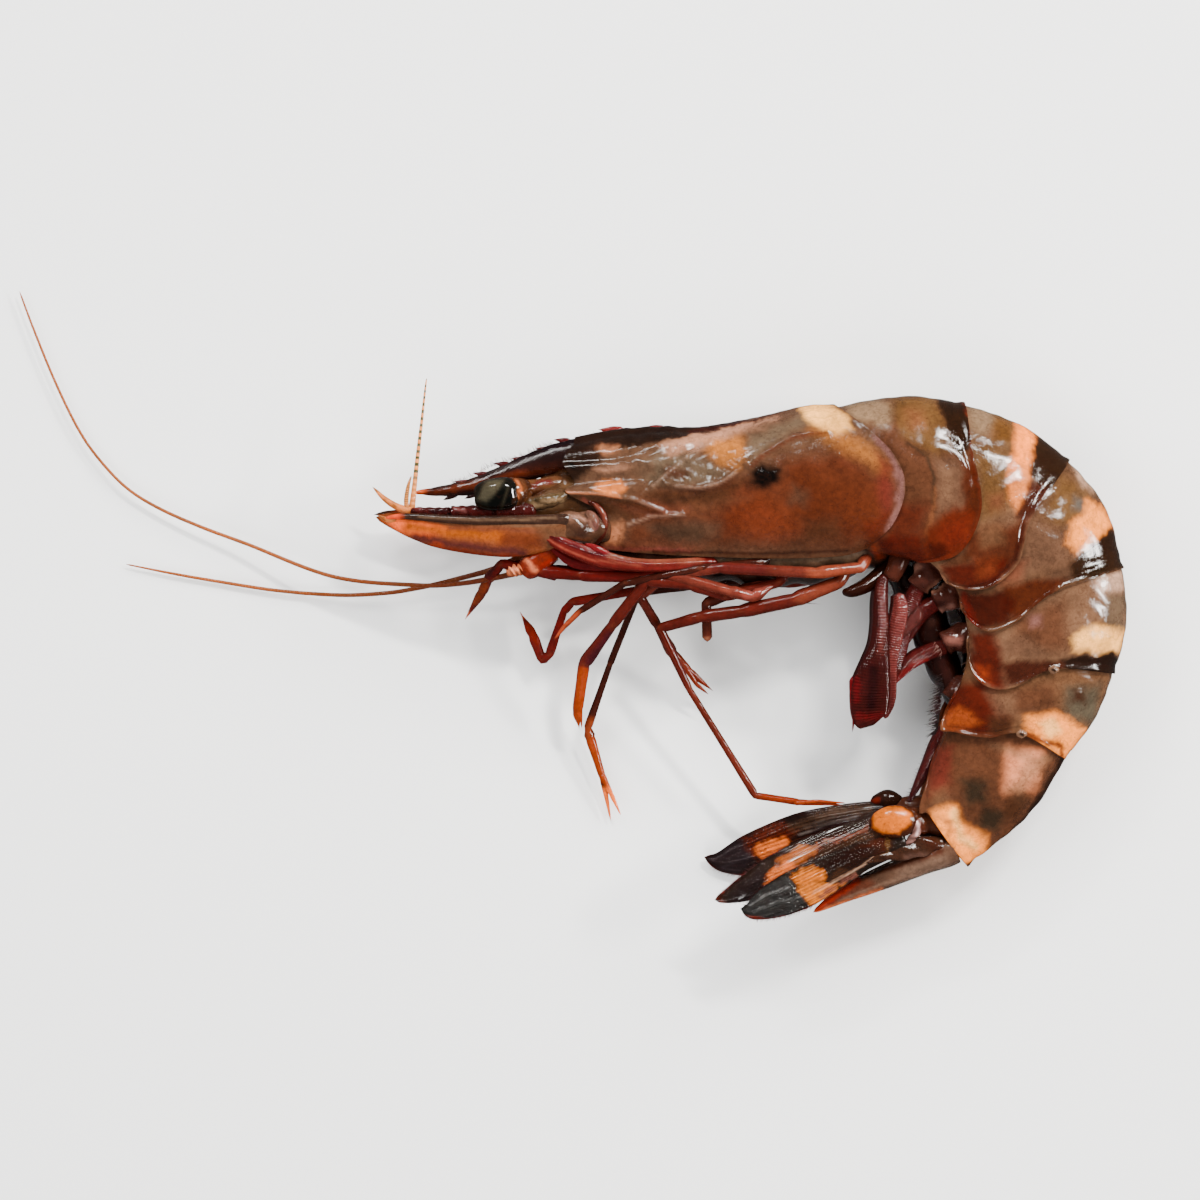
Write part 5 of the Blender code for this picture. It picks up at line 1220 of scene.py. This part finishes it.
for number, (column, row) in enumerate([(932, 568), (958, 602), (972, 636), (938, 648), (968, 668),
                                        (941, 590)]):
    x, y = from_photo(column, row)
    fringe([(x - 0.6, y + 0.8, 15.0), (x, y, 15.4), (x + 0.4, y - 0.8, 15.0)], 16, (0.6, 1.5),
           (-0.6, -0.9, 0.3), 0.05, "pale_hairs_" + str(number + 1), pale_bristles, 0.6)

# The tail fan: a pointed middle spike of shell and two pairs of stiff, ribbed, wet black lobes
# with orange patches and red rims, hinged to the last ring by short stems.
lobe_skin = shell_look("tail lobe", 3.2, 0.45, 0, 250, 2.2)
ORANGE = tone(214, 138, 58)
LOBE_RUST = tone(124, 44, 22)
GREIGE = tone(136, 108, 90)
VERMILION = tone(196, 64, 32)
TAIL_SPIKE_PAINT = [
    (GREIGE, 0.8, 6, 9, [(940, 862), (905, 872)]),
    (MAHOGANY, 0.8, 3, 3, [(940, 850), (900, 862), (870, 872)]),
    (COPPER, 0.9, 5, 7, [(866, 884), (836, 898)]),
    (tone(214, 142, 82), 0.8, 3, 2.0, [(880, 890), (845, 903), (815, 912)]),
    # Painted highlight: a pale line along the spike.
    (tone(150, 120, 100), 0.7, 1.5, 1.5, [(930, 868), (880, 884), (840, 900)]),
    (VERMILION, 0.9, 3, 3, [(856, 880), (818, 908)])]
dress("tail_spike", [(62.0, -39.0, MID, 2.6, 3.6), (60.2, -39.9, MID, 2.6, 4.0), (56.6, -41.4, MID, 2.2, 3.8),
                     (49.8, -44.2, MID, 1.9, 3.0), (44.2, -46.6, MID, 1.4, 2.0), (40.4, -48.8, MID, 0.6, 0.8),
                     (39.1, -49.6, MID, 0.1, 0.15)], tone(104, 76,
                                                          60), TAIL_SPIKE_PAINT, segments=32, rings=80,
      swell=lambda share, turn: -0.2 * np.exp(-(np.cos(turn) / 0.3) ** 2))
LEFT_OUTER = [(54.0, -34.8, 13.8, 2.0, 1.4), (50.0, -35.6, 13.9, 2.5, 1.2), (46.3, -37.2, 13.8, 2.8, 1.0),
              (39.2, -40.5, 13.4, 3.6, 0.75), (32.7, -43.5, 13.0, 3.3, 0.6), (27.5, -46.0, 12.6, 2.1, 0.45),
              (24.4, -47.2, 12.4, 0.9, 0.3), (23.3, -47.5, 12.4, 0.1, 0.1)]
LEFT_INNER = [(54.0, -38.0, 14.0, 1.8, 1.2), (47.0, -40.4, 15.2, 2.6, 0.9), (43.2, -42.3, 15.6, 3.2, 0.75),
              (37.6, -45.2, 15.6, 3.7, 0.6), (33.0, -47.4, 15.2, 3.2, 0.5), (29.4, -48.9, 14.7, 1.9, 0.4),
              (27.4, -48.8, 14.4, 0.2, 0.2)]
RIGHT_OUTER = [(53.0, -33.4, 7.0, 2.0, 1.4), (44.6, -35.4, 5.6, 3.4, 1.0), (37.8, -37.6, 4.2, 4.3, 0.75),
               (30.0, -40.5, 2.6, 3.9, 0.6), (25.0, -41.7, 1.5, 2.2, 0.45), (21.8, -41.1, 0.8, 0.2, 0.2)]
RIGHT_INNER = [(54.0, -37.4, 7.6, 1.8, 1.2), (47.0, -39.6, 7.4, 2.6, 0.9), (40.0, -42.6, 7.8, 3.2, 0.7),
               (34.0, -44.6, 7.8, 2.8, 0.6), (29.0, -46.0, 7.6, 0.3, 0.3)]
LEFT_OUTER_PAINT = [
    (BISTRE, 0.85, 5, 6, [(884, 828), (850, 842), (815, 856)]),
    (RUST, 0.9, 2.5, 2.5, [(868, 826), (830, 840), (790, 856)]),
    (OCHRE, 0.95, 3, 0, [(776, 862), (792, 848), (818, 844), (812, 856), (790, 866)]),
    (ORANGE, 0.97, 3, 0, [(764, 878), (770, 868), (794, 861), (797, 868), (785, 880), (766, 884)]),
    (tone(44, 30, 30), 0.95, 3, 0, [(726, 898), (744, 878), (764, 866), (766, 884), (744, 908)]),
    (LOBE_RUST, 0.95, 2.5, 3, [(716, 896), (722, 906), (732, 912)]),
    (tone(176, 60, 30), 0.9, 2, 1.5, [(714, 897), (728, 884)])]
SALMON = tone(146, 92, 78)
DEEP_BROWN = tone(40, 18, 8)
LEFT_INNER_PAINT = [
    (MAHOGANY, 0.85, 6, 8, [(880, 842), (850, 858)]), (OLIVE, 0.8, 2, 2, [(884, 838), (886, 858)]),
    (tone(204, 132, 36), 0.97, 3, 0, [(788, 874), (802, 867), (822, 868), (822, 878), (806, 884),
                                      (794, 882)]),
    (tone(208, 142, 48), 0.97, 3, 0, [(796, 886), (822, 880), (842, 882), (826, 896), (812, 904),
                                      (802, 898)]),
    (BISTRE, 0.85, 2, 0, [(824, 876), (846, 866), (856, 872), (842, 882)]),
    (DEEP_BROWN, 0.9, 3, 0, [(812, 864), (850, 846), (880, 846), (868, 862), (830, 872)]),
    # At the tip: the dark tip lightened to grey as painted sheen, with pale lines of painted highlight and
    # dark lines between them.
    (tone(60, 58, 56), 0.97, 2.5, 0, [(738, 906), (764, 884), (786, 876), (800, 890), (808, 904),
                                      (776, 920), (750, 916)]),
    (tone(150, 50, 28), 0.9, 1.5, 1.2, [(742, 914), (776, 920), (806, 912)]),
    (tone(150, 148, 146), 0.6, 1.2, 0.7, [(748, 904), (768, 892), (788, 885)]),
    (tone(128, 126, 124), 0.6, 1.2, 0.7, [(752, 911), (776, 900), (800, 895)]),
    (tone(24, 20, 20), 0.8, 1.5, 1.0, [(750, 908), (772, 896), (794, 890)]),
    (tone(24, 20, 20), 0.7, 1.5, 1.0, [(766, 915), (790, 906), (804, 903)]),
    # Painted highlight: a light streak along the lobe.
    (tone(216, 196, 176), 0.5, 1.2, 0.7, [(812, 892), (832, 880), (858, 866), (874, 856)]),
    (SALMON, 0.9, 2, 2, [(852, 872), (822, 894)])]
RIGHT_OUTER_PAINT = [
    # Painted highlight: light streaks along the lobe.
    (tone(176, 168, 164), 0.55, 1.4, 0.9, [(806, 828), (836, 816), (864, 809)]),
    (tone(150, 138, 132), 0.5, 1.4, 0.8, [(800, 836), (830, 824), (858, 817)]),
    (tone(52, 36, 38), 0.97, 2.5, 0, [(704, 860), (737, 836), (752, 850), (758, 862), (738, 880),
                                      (714, 874)]),
    (BRICK, 0.92, 3, 0, [(742, 840), (784, 820), (800, 832), (764, 862), (756, 862)]),
    (ORANGE, 0.97, 3, 0, [(757, 850), (784, 838), (789, 844), (770, 862), (760, 860)]),
    (DRAB, 0.9, 4, 6, [(868, 808), (830, 814), (796, 828)]),
    (tone(150, 44, 26), 0.9, 1.5, 1.2, [(706, 864), (720, 876), (738, 883)]),
    (tone(140, 50, 26), 0.9, 1.5, 1.4, [(704, 859), (728, 842), (762, 823), (790, 812)]),
    # Painted sheen: greyish lines on the dark tip.
    (tone(104, 92, 94), 0.6, 1.4, 0.8, [(714, 862), (730, 852), (744, 846)]),
    (tone(92, 80, 84), 0.6, 1.4, 0.8, [(724, 870), (740, 862), (752, 858)])]


def lobe_rib(share, turn):
    """Raised middle rib, fine side ribs, wrinkled tip and thin edge of a tail lobe."""
    spread = np.cos(turn)
    tip = np.clip((share - 0.6) / 0.15, 0, 1) * np.abs(np.sin(turn))
    edge = np.exp(-((np.abs(np.sin(turn)) - 1) / 0.02) ** 2)
    middle = np.exp(-(np.sin(turn) / 0.5) ** 2)
    ribs = 0.07 * np.sin(spread * 22 + 3 * share) + 0.06 * tip * np.sin(spread * 31 + 24 * share)
    return 0.22 * edge - 0.15 * middle + ribs


dress("left_outer_lobe", LEFT_OUTER, tone(48, 32, 24), LEFT_OUTER_PAINT, lobe_skin, 72, 100, -18, lobe_rib,
      1.6)
dress("left_inner_lobe", LEFT_INNER, tone(44, 32, 24), LEFT_INNER_PAINT, lobe_skin, 72, 100, 14, lobe_rib,
      1.6)
dress("right_outer_lobe", RIGHT_OUTER, tone(46, 28, 24), RIGHT_OUTER_PAINT, lobe_skin, 72, 100, 16,
      lobe_rib, 1.6)
dress("right_inner_lobe", RIGHT_INNER, tone(36, 28, 24), LEFT_INNER_PAINT, lobe_skin, 72, 100, -10, lobe_rib)
for number, (lobe, side) in enumerate([(RIGHT_OUTER, -1), (LEFT_OUTER, -1), (LEFT_OUTER, 1),
                                       (LEFT_INNER, -1), (LEFT_INNER, 1)]):
    middle = along(lobe, np.linspace(0.6, 0.97, 12))
    ahead = np.gradient(middle[:, :2], axis=0)
    ahead /= np.linalg.norm(ahead, axis=1)[:, None]
    outward = np.column_stack([ahead[:, 1], -ahead[:, 0]]) * side
    edge = middle[:, :3].copy()
    edge[:, :2] += outward * (middle[:, 3] - 0.45)[:, None]
    away = (outward + ahead).mean(axis=0)
    fringe([tuple(spot) for spot in edge], 120, (0.35, 0.75), (away[0], away[1], 0.0), 0.05,
           "lobe_fringe_" + str(number + 1), bristle_material, 0.3)
KNUCKLE_PAINT = [(tone(206, 130, 28), 0.97, 2.6, 0,
                  [(872, 812), (880, 806), (898, 806), (909, 813), (908, 822), (898, 832), (880, 832),
                   (872, 826)])]
dress("left_lobe_knuckle", [(47.8, -35.2, 14.6, 0.5, 0.5), (49.2, -35.1, 15.2, 1.8, 1.3),
                            (51.6, -34.9, 15.6, 2.6, 1.7), (54.2, -34.8, 15.4, 2.2, 1.4),
                            (56.0, -35.0, 14.8, 0.6, 0.6)], tone(76, 40, 26), KNUCKLE_PAINT, segments=48,
      rings=48)
dress("knuckle_cap", seen((908, 812, 15.0, 2, 0.4), (914, 820, 15.4, 4.5, 0.9), (914, 832, 15.2, 4.5, 0.9),
                          (904, 844, 14.6, 2, 0.4)), tone(150, 112, 104),
      [(tone(206, 186, 184), 0.9, 1.5, 1.2, [(913, 815), (917, 826), (915, 834)])], segments=32, rings=40,
      swell=lambda share, turn: 0.12 * np.sin(share * 26 + 2 * turn))
dress("right_lobe_knuckle", [(48.4, -31.8, 7.0, 0.5, 0.5), (51.2, -31.6, 7.2, 1.6, 1.5),
                             (53.8, -31.8, 7.4, 0.5, 0.5)], tone(54, 32, 24),
      [(tone(136, 44, 26), 0.9, 2, 3, [(870, 803), (878, 801)])], segments=28, rings=24)
FAN_STEM_PAINT = [(tone(126, 94, 52), 0.8, 4, 5, [(886, 846), (900, 850)]),
                  (tone(96, 44, 28), 0.85, 4, 5, [(920, 830), (935, 842)]),
                  (tone(56, 32, 24), 0.85, 3, 4, [(935, 850), (945, 845)])]
dress_pair("fan_stem", [(61.0, -35.4, 11.2, 2.2, 1.2), (57.6, -35.0, 12.0, 2.4, 1.7),
                        (54.6, -34.8, 13.4, 2.2, 1.6), (52.4, -35.4, 14.0, 1.6, 1.4)], tone(96, 54, 38),
           FAN_STEM_PAINT, shift=(0.0, 1.6), segments=32, rings=32,
           swell=lambda share, turn: 0.1 * np.sin(share * 16 + 2 * turn))
dress("fan_skin", seen((946, 844, 13.0, 5, 0.8), (925, 845, 13.8, 10, 0.9), (902, 850, 14.6, 9, 0.7),
                       (880, 855, 15.4, 5, 0.4), (864, 861, 15.8, 1, 0.15)), tone(72, 46, 34),
      [(tone(76, 40, 28), 0.85, 4, 5, [(925, 838), (940, 850)]),
       (tone(140, 106, 66), 0.8, 2, 2, [(880, 850), (896, 844)]),
       (tone(120, 88, 76), 0.7, 3, 3, [(905, 858), (925, 854)])], segments=40, rings=50,
      swell=lambda share, turn: 0.12 * np.sin(share * 20 + 3 * turn))
for number, (column, row) in enumerate([(1050, 669), (1019, 733)]):
    hoop_mesh = bpy.data.objects["tail_ring_" + str(number + 4)].data
    hoop_spots = np.array([vertex.co for vertex in hoop_mesh.vertices]) / MM
    x, y = from_photo(column, row)
    top = hoop_spots[np.hypot(hoop_spots[:, 0] - x, hoop_spots[:, 1] - y) < 0.8, 2].max()
    dress("hinge_knob_" + str(number + 1),
          seen((column - 5, row, top - 0.5, 2, 0.5), (column, row, top - 0.2, 4.5, 0.7),
               (column + 5, row, top - 0.5, 2, 0.5)),
          tone(150, 116, 92), [(tone(40, 26, 22), 0.95, 1, 1.6,
                                [(column - 1, row), (column + 1, row + 1)])], segments=24, rings=20,
          wander=0)
